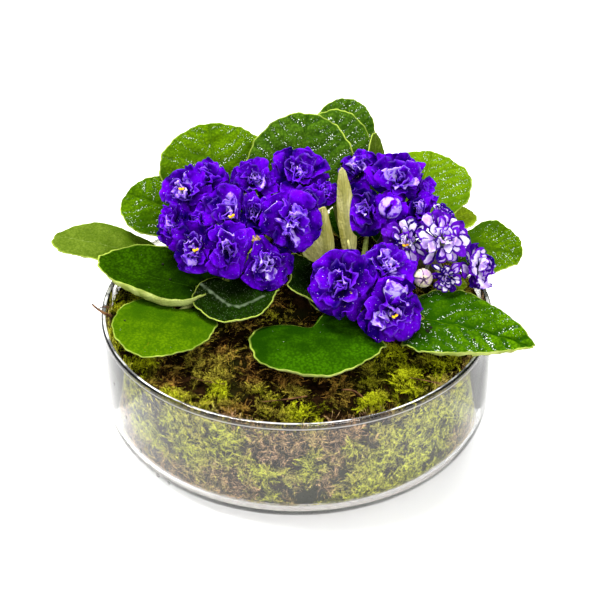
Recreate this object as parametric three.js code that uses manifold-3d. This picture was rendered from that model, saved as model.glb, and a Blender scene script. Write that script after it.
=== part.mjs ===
// African violets growing in a round glass dish filled with moss.
// Millimetres, +Z up. The origin is the centre of the dish's flat underside.
// There are three plants: two with purple double flowers and one with white and purple double flowers.
import * as THREE from "three";
import { mergeVertices } from "three/addons/utils/BufferGeometryUtils.js";
import Module from "manifold-3d";

const wasm = await Module();
wasm.setup();

// Driving dimensions
const DISH_RADIUS = 120;
const DISH_HEIGHT = 76;
const DISH_WALL = 3;
const DISH_FLOOR = 5;
const DISH_CORNER = 18;
const DISH_SIDES = 36;
const SEAT_GAP = 0.35;
const MOSS_LEVEL = 71;
const MOSS_DOME = 3;
const MOSS_LUMP = 1.1;
const MOSS_SIDES = 30;
const MOSS_RINGS = [1, 0.86, 0.7, 0.52, 0.34, 0.16, 0];
const LEAF_THICK = 1.5;
const PETIOLE_RADIUS = 2.1;
const PETAL_THICK = 0.8;
const STALK_RADIUS = 1.2;
const HUB_RADIUS = 1.9;
const CROWN_RADIUS = 7.5;
const CROWN_TOP = 88;
const CROWN_DEPTH = 22;

// The crowns, the short stems that each plant's leaves and flower stalks grow from
const CROWNS = {
  left: [-38, 30],
  right: [40, 18],
  back: [84, 46],
};

// A leaf grows from its crown at a level. The joint is where its stalk meets the blade, and face is the way that
// its upper side looks. Arch, cup and wave are how far the midrib, the edges and the edge's waves rise, as shares
// of the blade's size. Fold is the angle that each half is folded up by, in degrees. Point is how much the blade
// narrows from its base to its tip.
function leaf(name, crown, level, joint, tip, width, face, [arch, cup, wave, fold, point = 0.12]) {
  return { name, crown, level, joint, tip, width, face, arch, cup, wave, fold, point };
}

const LEAVES = [
  leaf("far_left", "left", 85, [-88, 43, 83.5], [-155, 59, 88], 45, [0, 0.05, 1], [0.05, 0.04, 0.03, 0, -0.06]),
  leaf("left", "left", 82, [-54, 0, 87.5], [-123, 24, 94], 57, [0, 0, 1], [-0.03, 0.06, 0.04, 0, 0.33]),
  leaf("front_left", "left", 78, [-70, -14, 84], [-88, -62, 84], 67, [0, -0.1, 1], [0.05, -0.03, 0.02, 0]),
  leaf("under_left", "left", 86, [-40.5, 2, 95], [-32, -38, 88.5], 52, [-0.12, -0.1, 1], [0.02, 0.06, 0.04, 0]),
  leaf("front", "right", 77.5, [7, -34, 85], [24, -84, 82], 81, [0, -0.12, 1], [0.06, -0.02, 0.02, 0]),
  leaf("right", "right", 80, [70, -36, 90], [140, -59.7, 87], 58, [0.1, -0.22, 1], [0.05, -0.02, 0.03, 0, 0.5]),
  leaf("right_back", "back", 82, [104, 42, 90], [141, 33, 91], 56, [0, -0.1, 1], [0.05, 0.05, 0.04, 0]),
  leaf("right_tiny", "back", 79, [96, 0, 88.5], [98, 2, 101], 14, [0, -1, 0.2], [0.1, 0.15, 0.05, 0]),
  leaf("right_small", "back", 80, [94, 74, 88], [115, 84, 91], 30, [0, 0, 1], [0.05, 0.05, 0.03, 0]),
  leaf("back_right", "back", 86, [75, 72, 98], [90, 119, 116], 64, [-0.1, -0.6, 1], [0.06, 0.1, 0.04, 0]),
  leaf("back_top", "back", 82, [27, 104, 118], [34, 133, 149], 43, [-0.2, -1, 0.8], [0.04, 0.08, 0.03, 0]),
  leaf("back_middle", "right", 84, [20, 76, 112], [27, 112, 152], 52, [-0.1, -1, 0.8], [0.03, 0.06, 0.02, 0]),
  leaf("back_main", "left", 84, [0, 60, 112], [7, 102, 155], 68, [-0.1, -1, 0.8], [0.04, 0.08, 0.02, 0]),
  leaf("back_left", "left", 84, [-50, 72, 108], [-57, 117, 139], 70, [0, -0.8, 1], [0.06, 0.1, 0.02, 0]),
  leaf("left_back", "left", 78, [-70, 64, 99], [-110, 86, 105], 54, [0.1, -0.4, 1], [0.05, 0.08, 0.03, 0]),
  leaf("edge_on", "back", 77.7, [42, 70, 112], [50, 94, 145], 26, [0.9, -0.5, 0.2], [0.05, 0.2, 0, 0]),
  leaf("upright_tall", "right", 86.5, [32.5, 18, 102], [27, 23, 160], 21, [0, 1, 0.1], [-0.02, 0.3, 0.03, 55]),
  leaf("upright_short", "right", 84.2, [22, 12, 98], [15, 12, 138], 26, [-0.5, 1, 0], [0.03, 0.3, 0.04, 45]),
  leaf("middle_dark", "right", 80.5, [16, 3, 94], [-7, -12, 101.5], 41, [-0.3, -0.5, 0.9],
    [-0.06, 0.1, 0.05, 0]),
  leaf("middle_small", "right", 84, [27, -6, 86], [10, -21, 88.4], 28, [0, -0.2, 1], [0.05, 0, 0.03, 0]),
  leaf("rear_low_left", "left", 79, [-22, 66, 86], [-18, 114, 88], 58, [0, 0, 1], [0.06, 0.04, 0.03, 0]),
  leaf("rear_low_right", "right", 78.5, [44, 62, 85], [52, 110, 86], 54, [0, 0, 1], [0.06, 0.04, 0.03, 0]),
];

// A bloom: its stalk, the flower's middle, the way that it faces, its radius, how far it is open and its turn
function bloom(name, stem, at, face, radius, open, turn) {
  return { name, stem, at, face, radius, open, turn };
}

const BLOOMS = [
  bloom("left_a", "left", [-68, 50, 126], [-0.5, -0.6, 0.6], 16, 1, 20),
  bloom("left_b", "left", [-42, 24, 125], [0.05, -0.65, 0.7], 18.5, 1, 50),
  bloom("left_c", "left", [-75, 31, 115], [-0.7, -0.6, 0.3], 12.5, 0.8, 0),
  bloom("left_d", "left", [-61, 10, 112], [-0.3, -0.85, 0.4], 15, 0.9, 35),
  bloom("left_e", "left", [-41, 2, 116], [0.1, -0.9, 0.4], 16.5, 0.7, 10),
  bloom("left_f", "left", [-58, 67, 123], [-0.2, -0.3, 1], 15, 0.8, 60),
  bloom("left_g", "left", [-26, 50, 134], [0.1, -0.5, 0.9], 14, 0.6, 15),
  bloom("left_h", "left", [1, 56, 135], [0.1, -0.5, 0.85], 17.5, 0.8, 40),
  bloom("left_i", "left", [16, 43, 131], [0.4, -0.6, 0.7], 8, 0.4, 0),
  bloom("left_j", "left", [-4, 8, 131], [0.35, -0.75, 0.55], 17.5, 0.9, 25),
  bloom("left_k", "left", [-19, -2, 109], [0.1, -0.9, 0.3], 15.5, 0.6, 5),
  bloom("left_l", "left", [5, 30, 131], [0.3, -0.4, 0.9], 11, 0.6, 30),
  bloom("left_m", "left", [-26, 24, 126], [0.1, -0.6, 0.8], 13.5, 0.7, 10),
  bloom("left_n", "left", [-60, 31, 117], [-0.2, -0.7, 0.6], 11, 0.8, 30),
  bloom("right_a", "right", [62, 47, 136], [0.2, -0.5, 0.8], 18.5, 0.9, 10),
  bloom("right_b", "right", [40, 64, 133], [-0.3, -0.2, 1], 12.5, 0.5, 30),
  bloom("right_c", "right", [44, 37, 122], [-0.2, -0.7, 0.6], 15.5, 0.7, 55),
  bloom("right_d", "right", [57, 28, 129], [0, -0.8, 0.6], 9.5, 0.3, 0),
  bloom("right_e", "right", [76, 52, 126], [0.7, -0.3, 0.6], 11, 0.7, 20),
  bloom("right_f", "right", [74, 34, 124], [0.4, -0.6, 0.7], 10, 0.6, 50),
  bloom("mixed_a", "back", [87, 0, 123], [0.25, -0.7, 0.6], 18, 0.8, 15),
  bloom("mixed_b", "back", [67, 9, 117], [-0.2, -0.8, 0.6], 15, 0.8, 40),
  bloom("mixed_c", "back", [110, 0, 104], [0.8, -0.4, 0.4], 12.5, 0.8, 0),
  bloom("mixed_d", "back", [87, 29, 121], [0.3, -0.1, 1], 11, 0.7, 50),
  bloom("mixed_e", "back", [89.5, -12, 105.5], [0.1, -1, 0.15], 10, 0.8, 30),
  bloom("front_a", "front", [28, -30, 111], [-0.3, -0.75, 0.6], 20, 0.9, 30),
  bloom("front_b", "front", [54, -14, 111], [0.1, -0.6, 0.8], 16.5, 0.7, 15),
  bloom("front_c", "front", [55, -42, 100.6], [0.2, -0.9, 0.3], 18.5, 0.8, 50),
];

// The one unopened bud
const BUD = { name: "mixed_bud", stem: "back", at: [76, -12, 104], face: [0, -0.9, 0.4], radius: 5.5 };

// Each group of flowers grows on one branching stalk, which leaves its crown and divides at a hub
const STALKS = {
  left: { crown: "left", hub: [-36, 34, 108] },
  right: { crown: "right", hub: [54, 34, 106] },
  back: { crown: "back", hub: [84, 24, 98] },
  front: { crown: "right", hub: [44, -4, 94] },
};

const COLOURS = {
  glass: { color: 0xeef4f2, roughness: 0.03, metalness: 0 },
  moss: { color: 0x6b6a22, roughness: 1, metalness: 0 },
  leaf: { color: 0x2f7d12, roughness: 0.45, metalness: 0 },
  leafPale: { color: 0x9aa65a, roughness: 0.7, metalness: 0 },
  crown: { color: 0x6f7a3a, roughness: 0.8, metalness: 0 },
  stalk: { color: 0x4d4a3c, roughness: 0.7, metalness: 0 },
  purple: { color: 0x4a08d8, roughness: 0.6, metalness: 0 },
  mixed: { color: 0xb9a0ee, roughness: 0.6, metalness: 0 },
  bud: { color: 0xded6c0, roughness: 0.7, metalness: 0 },
};

const vector = (list) => new THREE.Vector3(...list);
const radians = THREE.MathUtils.degToRad;

// Geometry to solid and back

function solidOf(geometry) {
  const bare = geometry.clone();
  bare.deleteAttribute("normal");
  bare.deleteAttribute("uv");
  const merged = mergeVertices(bare, 1e-4);
  return new wasm.Manifold(
    new wasm.Mesh({
      numProp: 3,
      vertProperties: new Float32Array(merged.attributes.position.array),
      triVerts: new Uint32Array(merged.index.array),
    }),
  );
}

function geometryOf(solid) {
  const mesh = solid.getMesh();
  const geometry = new THREE.BufferGeometry();
  geometry.setAttribute("position", new THREE.BufferAttribute(mesh.vertProperties, 3));
  geometry.setIndex(new THREE.BufferAttribute(mesh.triVerts, 1));
  geometry.computeVertexNormals();
  return geometry;
}

const join = (solids) => solids.reduce((a, b) => a.add(b));

// The largest body of a solid, because trimming can leave a loose scrap
function largest(solid) {
  return solid.decompose().reduce((a, b) => (a.volume() > b.volume() ? a : b));
}

// A thin closed blade. surface(r, a) gives a point of its middle surface: r is 0 in the middle and 1 at the rim.
// Both faces are split into the same triangles. The corner turns the points of the rim by a share of one step.
function bladeGeometry(rings, sectors, thickness, surface, corner = 0) {
  const middle = [surface(0, 0)];
  for (const r of rings) {
    for (let k = 0; k < sectors; k++) middle.push(surface(r, (2 * Math.PI * (k + corner)) / sectors));
  }
  const at = (ring, k) => 1 + ring * sectors + (k % sectors);
  const faces = [];
  for (let k = 0; k < sectors; k++) {
    faces.push([0, at(0, k), at(0, k + 1)]);
    for (let ring = 1; ring < rings.length; ring++) {
      faces.push([at(ring - 1, k), at(ring, k), at(ring, k + 1)]);
      faces.push([at(ring - 1, k), at(ring, k + 1), at(ring - 1, k + 1)]);
    }
  }
  const normals = middle.map(() => new THREE.Vector3());
  for (const face of faces) {
    const [a, b, c] = face.map((i) => middle[i]);
    const normal = b.clone().sub(a).cross(c.clone().sub(a));
    face.forEach((i) => normals[i].add(normal));
  }
  const positions = [];
  for (const side of [1, -1]) {
    middle.forEach((p, i) => {
      const q = p.clone().addScaledVector(normals[i].clone().normalize(), (side * thickness) / 2);
      positions.push(q.x, q.y, q.z);
    });
  }
  const count = middle.length;
  const index = faces.flatMap(([a, b, c]) => [a, b, c, a + count, c + count, b + count]);
  const last = rings.length - 1;
  for (let k = 0; k < sectors; k++) {
    const a = at(last, k);
    const b = at(last, k + 1);
    index.push(a, a + count, b + count, a, b + count, b);
  }
  const geometry = new THREE.BufferGeometry();
  geometry.setAttribute("position", new THREE.BufferAttribute(new Float32Array(positions), 3));
  geometry.setIndex(index);
  return geometry;
}

// A stalk along a curve from its root, past a bend, to its end
function stalkSolid(root, bend, end, radius, steps, sides) {
  const ring = [];
  for (let k = 0; k < sides; k++) {
    const a = (2 * Math.PI * k) / sides;
    ring.push(new THREE.Vector2(radius * Math.cos(a), radius * Math.sin(a)));
  }
  const extrudePath = new THREE.QuadraticBezierCurve3(root, bend, end);
  return solidOf(new THREE.ExtrudeGeometry(new THREE.Shape(ring), { steps, bevelEnabled: false, extrudePath }));
}

// The crown: a short thick stem that stands in a plain hole in the moss
function crownSolid([x, y], grow) {
  const radius = CROWN_RADIUS + grow;
  const bottom = MOSS_LEVEL - CROWN_DEPTH - grow;
  const profile = [
    [0, bottom],
    [radius * 0.8, bottom],
    [radius, MOSS_LEVEL],
    [radius, CROWN_TOP - 3],
    [radius * 0.6, CROWN_TOP + grow],
    [0, CROWN_TOP + grow],
  ].map((p) => new THREE.Vector2(...p));
  return solidOf(new THREE.LatheGeometry(profile, 10).rotateX(Math.PI / 2).translate(x, y, 0));
}

// Each flower fills a ball round its centre. Where two balls meet, a plane between them is the border, and both
// flowers are drawn in so that no petal crosses it.
const BALL_RISE = 0.22;
const CELL_MARGIN = 0.65;
const CELL_SEARCH = 4;

const HEADS = [...BLOOMS, BUD].map((head) => {
  const centre = vector(head.at).addScaledVector(vector(head.face).normalize(), BALL_RISE * head.radius);
  return { head, centre, radius: head.radius };
});

function keepInCell(point, head) {
  const own = HEADS.find((entry) => entry.head === head);
  const reach = point.clone().sub(own.centre);
  const far = Math.max(reach.length(), 1e-6);
  let room = own.radius;
  for (const other of HEADS) {
    const gap = other.centre.clone().sub(own.centre);
    const apart = gap.length();
    const slope = reach.dot(gap) / (far * apart);
    if (other === own || apart > own.radius + other.radius + CELL_SEARCH || slope <= 0) continue;
    const border = (apart * own.radius) / (own.radius + other.radius) - CELL_MARGIN;
    room = Math.min(room, border / slope);
  }
  return own.centre.clone().addScaledVector(reach, room / Math.max(own.radius, far));
}

// Leaves bend clear of the flowers that stand over them
const LEAF_CLEAR = 2.4;

function keepOffBlooms(point) {
  for (const { centre, radius } of HEADS) {
    const away = point.clone().sub(centre);
    const reach = radius + LEAF_CLEAR;
    if (away.length() < reach) point.copy(centre).addScaledVector(away.normalize(), reach);
  }
  return point;
}

// A leaf blade: heart-shaped at the stalk, raised between its side veins, waved at its edge
const LEAF_RINGS = [0.58, 1];
const LEAF_SECTORS = 14;
const SMALL_LEAF = 32;
const SMALL_LEAF_SECTORS = 10;
const LEAF_RIB = 0.022;

const sectorsOf = (leaf) => (leaf.width < SMALL_LEAF ? SMALL_LEAF_SECTORS : LEAF_SECTORS);

function leafFrame(leaf) {
  const joint = vector(leaf.joint);
  const along = vector(leaf.tip).sub(joint);
  const length = along.length();
  along.normalize();
  const up = vector(leaf.face);
  up.addScaledVector(along, -up.dot(along)).normalize();
  return { joint, along, length, up, across: up.clone().cross(along) };
}

function leafSurface(leaf, r, a) {
  const { joint, along, length, up, across } = leafFrame(leaf);
  const half = leaf.width / 2;
  const reach = Math.cos(a) > 0 ? 0.54 : 0.58;
  const notch = 0.12 * r * r * Math.exp(-(((a - Math.PI) / 0.3) ** 2));
  const share = 0.46 + r * reach * Math.cos(a) + notch;
  const y = r * half * Math.sin(a) * (1 - leaf.point * Math.cos(a));
  const fold = radians(leaf.fold);
  const odd = Math.round((a * sectorsOf(leaf)) / (2 * Math.PI)) % 2;
  const rib = odd * LEAF_RIB * leaf.width * (r < 0.9 ? 1 : 0.4);
  const height =
    leaf.arch * 4 * share * (1 - share) * length +
    leaf.cup * (y / half) ** 2 * half +
    Math.abs(y) * Math.sin(fold) +
    leaf.wave * r ** 3 * Math.sin(5 * a + leaf.width) * half +
    rib;
  const point = joint
    .clone()
    .addScaledVector(along, share * length)
    .addScaledVector(across, y * Math.cos(fold))
    .addScaledVector(up, height);
  return keepOffBlooms(point);
}

function leafSolid(leaf, crowns) {
  const { joint, along, length, up } = leafFrame(leaf);
  const blade = bladeGeometry(LEAF_RINGS, sectorsOf(leaf), LEAF_THICK, (r, a) => leafSurface(leaf, r, a));
  const [x, y] = CROWNS[leaf.crown];
  const root = new THREE.Vector3(x, y, leaf.level);
  const end = leafSurface(leaf, 0.75, Math.PI).addScaledVector(up, -0.8);
  const bend = joint.clone().addScaledVector(along, -0.12 * length).lerp(root, 0.25);
  const radius = PETIOLE_RADIUS * Math.sqrt(leaf.width / 60);
  return largest(solidOf(blade).add(stalkSolid(root, bend, end, radius, 2, 4)).subtract(crowns));
}

// A double flower: an outer and an inner layer of waved petals round a small core. A small flower, which is still
// opening, has fewer inner petals.
const SMALL_BLOOM = 14.5;
const LAYERS = [
  {
    petals: 5, fewer: 5, sides: 6, corner: 0.5, turn: 0,
    root: 0.04, base: 0, length: 1.05, width: 1.5, low: -14, high: 24, cup: -0.1, twist: 0.28,
  },
  {
    petals: 3, fewer: 2, sides: 5, corner: 0, turn: 36,
    root: 0.06, base: 0.14, length: 0.82, width: 1.2, low: 26, high: 66, cup: 0.1, twist: 0.34,
  },
];

function bloomFrame(bloom) {
  const axis = vector(bloom.face).normalize();
  const side = new THREE.Vector3(0, 0, 1).cross(axis).normalize();
  return { axis, side, top: axis.clone().cross(side) };
}

const petalCount = (bloom, layer) => (bloom.radius < SMALL_BLOOM ? layer.fewer : layer.petals);

function petalSurface(bloom, layer, k, r, a) {
  const { axis, side, top } = bloomFrame(bloom);
  const size = bloom.radius;
  const turn = radians(bloom.turn + layer.turn + (360 * k) / petalCount(bloom, layer));
  const out = side.clone().multiplyScalar(Math.cos(turn)).addScaledVector(top, Math.sin(turn));
  const across = axis.clone().cross(out);
  const share = 0.5 * (1 - r * Math.cos(a));
  const closed = 1 - bloom.open;
  const low = radians(layer.low + 30 * closed);
  const high = radians(layer.high + 45 * closed);
  const rise = low + ((high - low) * share) / 2;
  const half = 0.5 * layer.width * size * (0.02 + 0.98 * share ** 0.9);
  const reach = size * (layer.root + layer.length * share * Math.cos(rise));
  const height = size * (layer.base + layer.length * share * Math.sin(rise));
  const y = r * Math.sin(a);
  const face = axis.clone().multiplyScalar(Math.cos(rise)).addScaledVector(out, -Math.sin(rise));
  const point = vector(bloom.at)
    .addScaledVector(out, reach)
    .addScaledVector(axis, height)
    .addScaledVector(across, y * half)
    .addScaledVector(face, half * (layer.cup * y * y + layer.twist * y));
  return keepInCell(point, bloom);
}

// The core that every petal's root is sunk in: a stub along the flower's axis
function coreSolid(bloom, grow) {
  const size = bloom.radius;
  const axis = vector(bloom.face).normalize();
  const middle = vector(bloom.at).addScaledVector(axis, 0.14 * size);
  const turn = new THREE.Quaternion().setFromUnitVectors(new THREE.Vector3(0, 1, 0), axis);
  const stub = new THREE.CylinderGeometry(0.17 * size + grow, 0.2 * size + grow, 0.46 * size + 2 * grow, 5);
  return solidOf(stub.applyQuaternion(turn).translate(middle.x, middle.y, middle.z));
}

function bloomSolid(bloom) {
  const solids = [coreSolid(bloom, 0)];
  for (const layer of LAYERS) {
    for (let k = 0; k < petalCount(bloom, layer); k++) {
      const surface = (r, a) => petalSurface(bloom, layer, k, r, a);
      solids.push(solidOf(bladeGeometry([1], layer.sides, PETAL_THICK, surface, layer.corner)));
    }
  }
  return largest(join(solids));
}

function budSolid(grow) {
  return solidOf(new THREE.SphereGeometry(BUD.radius + grow, 7, 5).translate(...BUD.at));
}

// The branching flower stalk of one group
function stalksSolid(name, trim) {
  const { crown, hub } = STALKS[name];
  const [x, y] = CROWNS[crown];
  const foot = new THREE.Vector3(x, y, CROWN_TOP - 4);
  const fork = vector(hub);
  const sway = foot.clone().lerp(fork, 0.5).setZ(fork.z * 0.45 + foot.z * 0.55);
  const solids = [stalkSolid(foot, sway, fork, HUB_RADIUS, 3, 5)];
  for (const { head } of HEADS.filter((entry) => entry.head.stem === name)) {
    const axis = vector(head.face).normalize();
    const end = vector(head.at).addScaledVector(axis, -0.1 * head.radius);
    const bend = end.clone().addScaledVector(axis, -0.9 * head.radius).lerp(fork, 0.35);
    solids.push(stalkSolid(fork, bend, end, STALK_RADIUS, 2, 3));
  }
  return largest(join(solids).subtract(trim));
}

// The dish: a thick-bottomed glass cylinder with a rounded lower corner and a rounded rim
function dishSolid() {
  const corner = DISH_RADIUS - DISH_CORNER;
  const rim = DISH_WALL / 2;
  const profile = new THREE.Path();
  profile.moveTo(0, 0);
  profile.lineTo(corner, 0);
  profile.absarc(corner, DISH_CORNER, DISH_CORNER, -Math.PI / 2, 0, false);
  profile.absarc(DISH_RADIUS - rim, DISH_HEIGHT - rim, rim, 0, Math.PI, false);
  profile.absarc(corner, DISH_CORNER + DISH_FLOOR - DISH_WALL, DISH_CORNER - DISH_WALL, 0, -Math.PI / 2, true);
  profile.lineTo(0, DISH_FLOOR);
  return solidOf(new THREE.LatheGeometry(profile.getPoints(2), DISH_SIDES).rotateX(Math.PI / 2));
}

// The moss: a bed that fills the dish, low at the rim and lumpy on top
function mossHeight(x, y) {
  const share = Math.hypot(x, y) / DISH_RADIUS;
  const lumps = Math.sin(x / 9) * Math.cos(y / 11 + 1) + 0.7 * Math.sin(x / 5.3 + y / 7.1);
  return MOSS_LEVEL + MOSS_DOME * (1 - share ** 2) + MOSS_LUMP * lumps * (1 - share ** 6);
}

function mossSolid(holes) {
  const facet = (DISH_RADIUS - DISH_WALL) * Math.cos(Math.PI / DISH_SIDES);
  const inside = facet - SEAT_GAP;
  const bottom = DISH_FLOOR + SEAT_GAP;
  const corner = DISH_CORNER - DISH_WALL;
  const profile = new THREE.Path();
  profile.moveTo(0, bottom);
  profile.lineTo(inside - corner, bottom);
  profile.absarc(inside - corner, bottom + corner, corner, -Math.PI / 2, 0, false);
  const points = profile.getPoints(2);
  for (const share of MOSS_RINGS) points.push(new THREE.Vector2(inside * share, MOSS_LEVEL));
  const geometry = new THREE.LatheGeometry(points, MOSS_SIDES).rotateX(Math.PI / 2);
  const position = geometry.attributes.position;
  for (let i = 0; i < position.count; i++) {
    if (position.getZ(i) > MOSS_LEVEL - 1) position.setZ(i, mossHeight(position.getX(i), position.getY(i)));
  }
  return solidOf(geometry).subtract(holes);
}

const model = new THREE.Group();

function place(name, solid, colour) {
  const mesh = new THREE.Mesh(geometryOf(solid), new THREE.MeshStandardMaterial(COLOURS[colour]));
  mesh.name = name;
  model.add(mesh);
}

const crowns = join(Object.values(CROWNS).map((at) => crownSolid(at, SEAT_GAP)));
const cores = join(BLOOMS.map((bloom) => coreSolid(bloom, SEAT_GAP)));
const stalkTrim = join([crowns, cores, budSolid(SEAT_GAP)]);

place("glass_dish", dishSolid(), "glass");
place("moss_bed", mossSolid(crowns), "moss");
for (const [name, at] of Object.entries(CROWNS)) place("crown_" + name, crownSolid(at, 0), "crown");
for (const leaf of LEAVES) place("leaf_" + leaf.name, leafSolid(leaf, crowns), leaf.fold ? "leafPale" : "leaf");
for (const name of Object.keys(STALKS)) place("stalks_" + name, stalksSolid(name, stalkTrim), "stalk");
for (const bloom of BLOOMS) {
  place("bloom_" + bloom.name, bloomSolid(bloom), bloom.stem === "back" ? "mixed" : "purple");
}
place(BUD.name, budSolid(0), "bud");

export default model;
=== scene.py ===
# %% [markdown]
# # African violets in a glass dish
# Three violet plants grow in a round glass dish that is packed with moss. Two carry deep violet double
# flowers, and the one at the back right has white flowers with violet edges. The solids that the dish,
# leaves and flowers fill are loaded first. Everything made here dresses those solids, in the same place
# and at the same size.

# %% Load the solids
import math
import random

import bmesh
import bpy
from mathutils import Matrix, Vector, noise


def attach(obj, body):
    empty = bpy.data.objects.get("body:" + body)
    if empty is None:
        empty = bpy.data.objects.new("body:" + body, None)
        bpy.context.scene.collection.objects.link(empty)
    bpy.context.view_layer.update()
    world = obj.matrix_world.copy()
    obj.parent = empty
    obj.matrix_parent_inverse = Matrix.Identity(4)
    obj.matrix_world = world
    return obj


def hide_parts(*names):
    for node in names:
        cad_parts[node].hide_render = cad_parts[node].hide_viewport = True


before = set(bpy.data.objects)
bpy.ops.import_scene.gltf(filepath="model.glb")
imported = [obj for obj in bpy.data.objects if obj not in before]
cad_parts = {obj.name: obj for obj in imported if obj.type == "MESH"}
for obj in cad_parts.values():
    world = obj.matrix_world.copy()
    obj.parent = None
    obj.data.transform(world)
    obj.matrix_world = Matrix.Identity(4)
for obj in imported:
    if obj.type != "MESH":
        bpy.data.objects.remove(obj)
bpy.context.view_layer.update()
MM = 0.001

# %% [markdown]
# ## The studio
# The dish stands on a white table in soft light. The camera looks down on it by 34 degrees through a long
# lens, so it is far away and the rim is a flat oval. A white sky gives the soft light, and it is brighter
# for rays that have passed through glass, so that the clear wall stays light. A large lamp above on the
# left gives the leaves their shine, one in front on the right fills the shadows, and a weak one behind
# lights the edges. Whites are kept clean and colours deep by showing the picture without any film curve.

# %% Camera, table and lights
TARGET = Vector((0.002, 0, 0.080))
FAR = 1.13
LOOK_DOWN = math.radians(34)


def aim(thing, target):
    thing.rotation_euler = (target - thing.location).to_track_quat("-Z", "Y").to_euler()


camera = bpy.data.objects.new("camera", bpy.data.cameras.new("camera"))
camera.data.lens = 110.4
camera.data.sensor_width = 36
camera.location = TARGET + FAR * Vector((0, -math.cos(LOOK_DOWN), math.sin(LOOK_DOWN)))
aim(camera, TARGET)
bpy.context.collection.objects.link(camera)
bpy.context.scene.camera = camera


def softbox(name, place, size, power, colour):
    lamp = bpy.data.objects.new(name, bpy.data.lights.new(name, "AREA"))
    lamp.data.size = size
    lamp.data.energy = power
    lamp.data.color = colour
    lamp.location = place
    aim(lamp, TARGET)
    bpy.context.collection.objects.link(lamp)


softbox("lamp_above_left", (-0.4, 0.2, 1.3), 0.45, 28, (1, 0.99, 0.97))
softbox("lamp_front", (0.45, -1.2, 1.0), 0.7, 20, (1, 1, 1))
softbox("lamp_behind", (0.35, 1.1, 0.75), 0.5, 10, (1, 1, 1))
world = bpy.data.worlds.new("white_room")
world.use_nodes = True
sky = world.node_tree
through_glass = sky.nodes.new("ShaderNodeLightPath").outputs["Is Transmission Ray"]
strength = sky.nodes.new("ShaderNodeMapRange")
strength.inputs["To Min"].default_value = 0.62
strength.inputs["To Max"].default_value = 1.0
sky.links.new(through_glass, strength.inputs["Value"])
sky.links.new(strength.outputs[0], sky.nodes["Background"].inputs["Strength"])
sky.nodes["Background"].inputs["Color"].default_value = (1, 1, 1, 1)
bpy.context.scene.world = world
bpy.context.scene.view_settings.view_transform = "Standard"
bpy.context.scene.cycles.max_bounces = 16
bpy.context.scene.cycles.transparent_max_bounces = 16
print("camera", [round(x, 3) for x in camera.location])

# %% [markdown]
# ## Making finishes
# Every finish is built from a few nodes. Noise is read on Object coordinates, so its grain has one real
# size on every piece. Most finishes are two colours that noise mixes, with coats of other colours laid
# where a share says, so both have a helper. Where a colour has to follow the piece, such as a leaf's pale
# edge, the mesh carries a vertex attribute called marks, and each piece below says what its red, green,
# blue and alpha stand for.

# %% Small helpers for finishes
def paint(text):
    """A colour from its usual six-digit web form."""
    parts = [int(text[i:i + 2], 16) / 255 for i in (0, 2, 4)]
    return tuple(c / 12.92 if c <= 0.04045 else ((c + 0.055) / 1.055) ** 2.4 for c in parts) + (1,)


def node(tree, kind, inputs=(), **settings):
    """A new node; an input that is another node's socket is linked, and any other is set."""
    made = tree.nodes.new(kind)
    for key, value in settings.items():
        setattr(made, key, value)
    for key, value in dict(inputs).items():
        if isinstance(value, bpy.types.NodeSocket):
            tree.links.new(value, made.inputs[key])
        else:
            made.inputs[key].default_value = value
    return made


def new_finish(name, **constants):
    finish = bpy.data.materials.new(name)
    finish.use_nodes = True
    shader = finish.node_tree.nodes["Principled BSDF"]
    for key, value in constants.items():
        shader.inputs[key.replace("_", " ")].default_value = value
    return finish, finish.node_tree, shader


def grain(tree, size_mm, detail=2):
    """Noise whose lumps are about size_mm across."""
    where = node(tree, "ShaderNodeTexCoord").outputs["Object"]
    inputs = {"Vector": where, "Scale": 700 / size_mm, "Detail": detail}
    return node(tree, "ShaderNodeTexNoise", inputs).outputs[0]


def pebbles(tree, size_mm):
    """Rounded cells about size_mm across: 0 in the middle of a cell."""
    where = node(tree, "ShaderNodeTexCoord").outputs["Object"]
    return node(tree, "ShaderNodeTexVoronoi", {"Vector": where, "Scale": 1000 / size_mm}).outputs["Distance"]


print("noise and nodes can be made")


# %% Helpers that mix colours
def ease(tree, value, low, high, to_low=0.0, to_high=1.0):
    """Runs smoothly from to_low to to_high while the value runs from low to high."""
    inputs = {"Value": value, "From Min": low, "From Max": high, "To Min": to_low, "To Max": to_high}
    return node(tree, "ShaderNodeMapRange", inputs, interpolation_type="SMOOTHSTEP").outputs[0]


def blend(tree, share, a, b):
    return node(tree, "ShaderNodeMix", {0: share, 6: a, 7: b}, data_type="RGBA").outputs[2]


def reckon(tree, operation, a, b):
    return node(tree, "ShaderNodeMath", {0: a, 1: b}, operation=operation).outputs[0]


def times(tree, a, b):
    return reckon(tree, "MULTIPLY", a, b)


def mottle(tree, size_mm, detail, low, high, one, other):
    """Two colours that noise mixes in lumps about size_mm across."""
    return blend(tree, ease(tree, grain(tree, size_mm, detail), low, high), paint(one), paint(other))


def layers(tree, tone, *coats):
    """Lays one colour after another over a tone, each where its share says."""
    for share, colour in coats:
        tone = blend(tree, share, tone, paint(colour))
    return tone


def give_colour(tree, shader, tone):
    tree.links.new(tone, shader.inputs["Base Color"])


def mottled_finish(name, mixture, **constants):
    """A finish of two colours; the mixture is what mottle asks for after the tree."""
    finish, tree, shader = new_finish(name, **constants)
    give_colour(tree, shader, mottle(tree, *mixture))
    return finish, tree, shader


def marks_of(tree):
    """The red, green, blue and alpha of the mesh's marks."""
    read = node(tree, "ShaderNodeAttribute", attribute_name="marks")
    split = node(tree, "ShaderNodeSeparateColor", {"Color": read.outputs["Color"]})
    return split.outputs[0], split.outputs[1], split.outputs[2], read.outputs["Alpha"]


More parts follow.
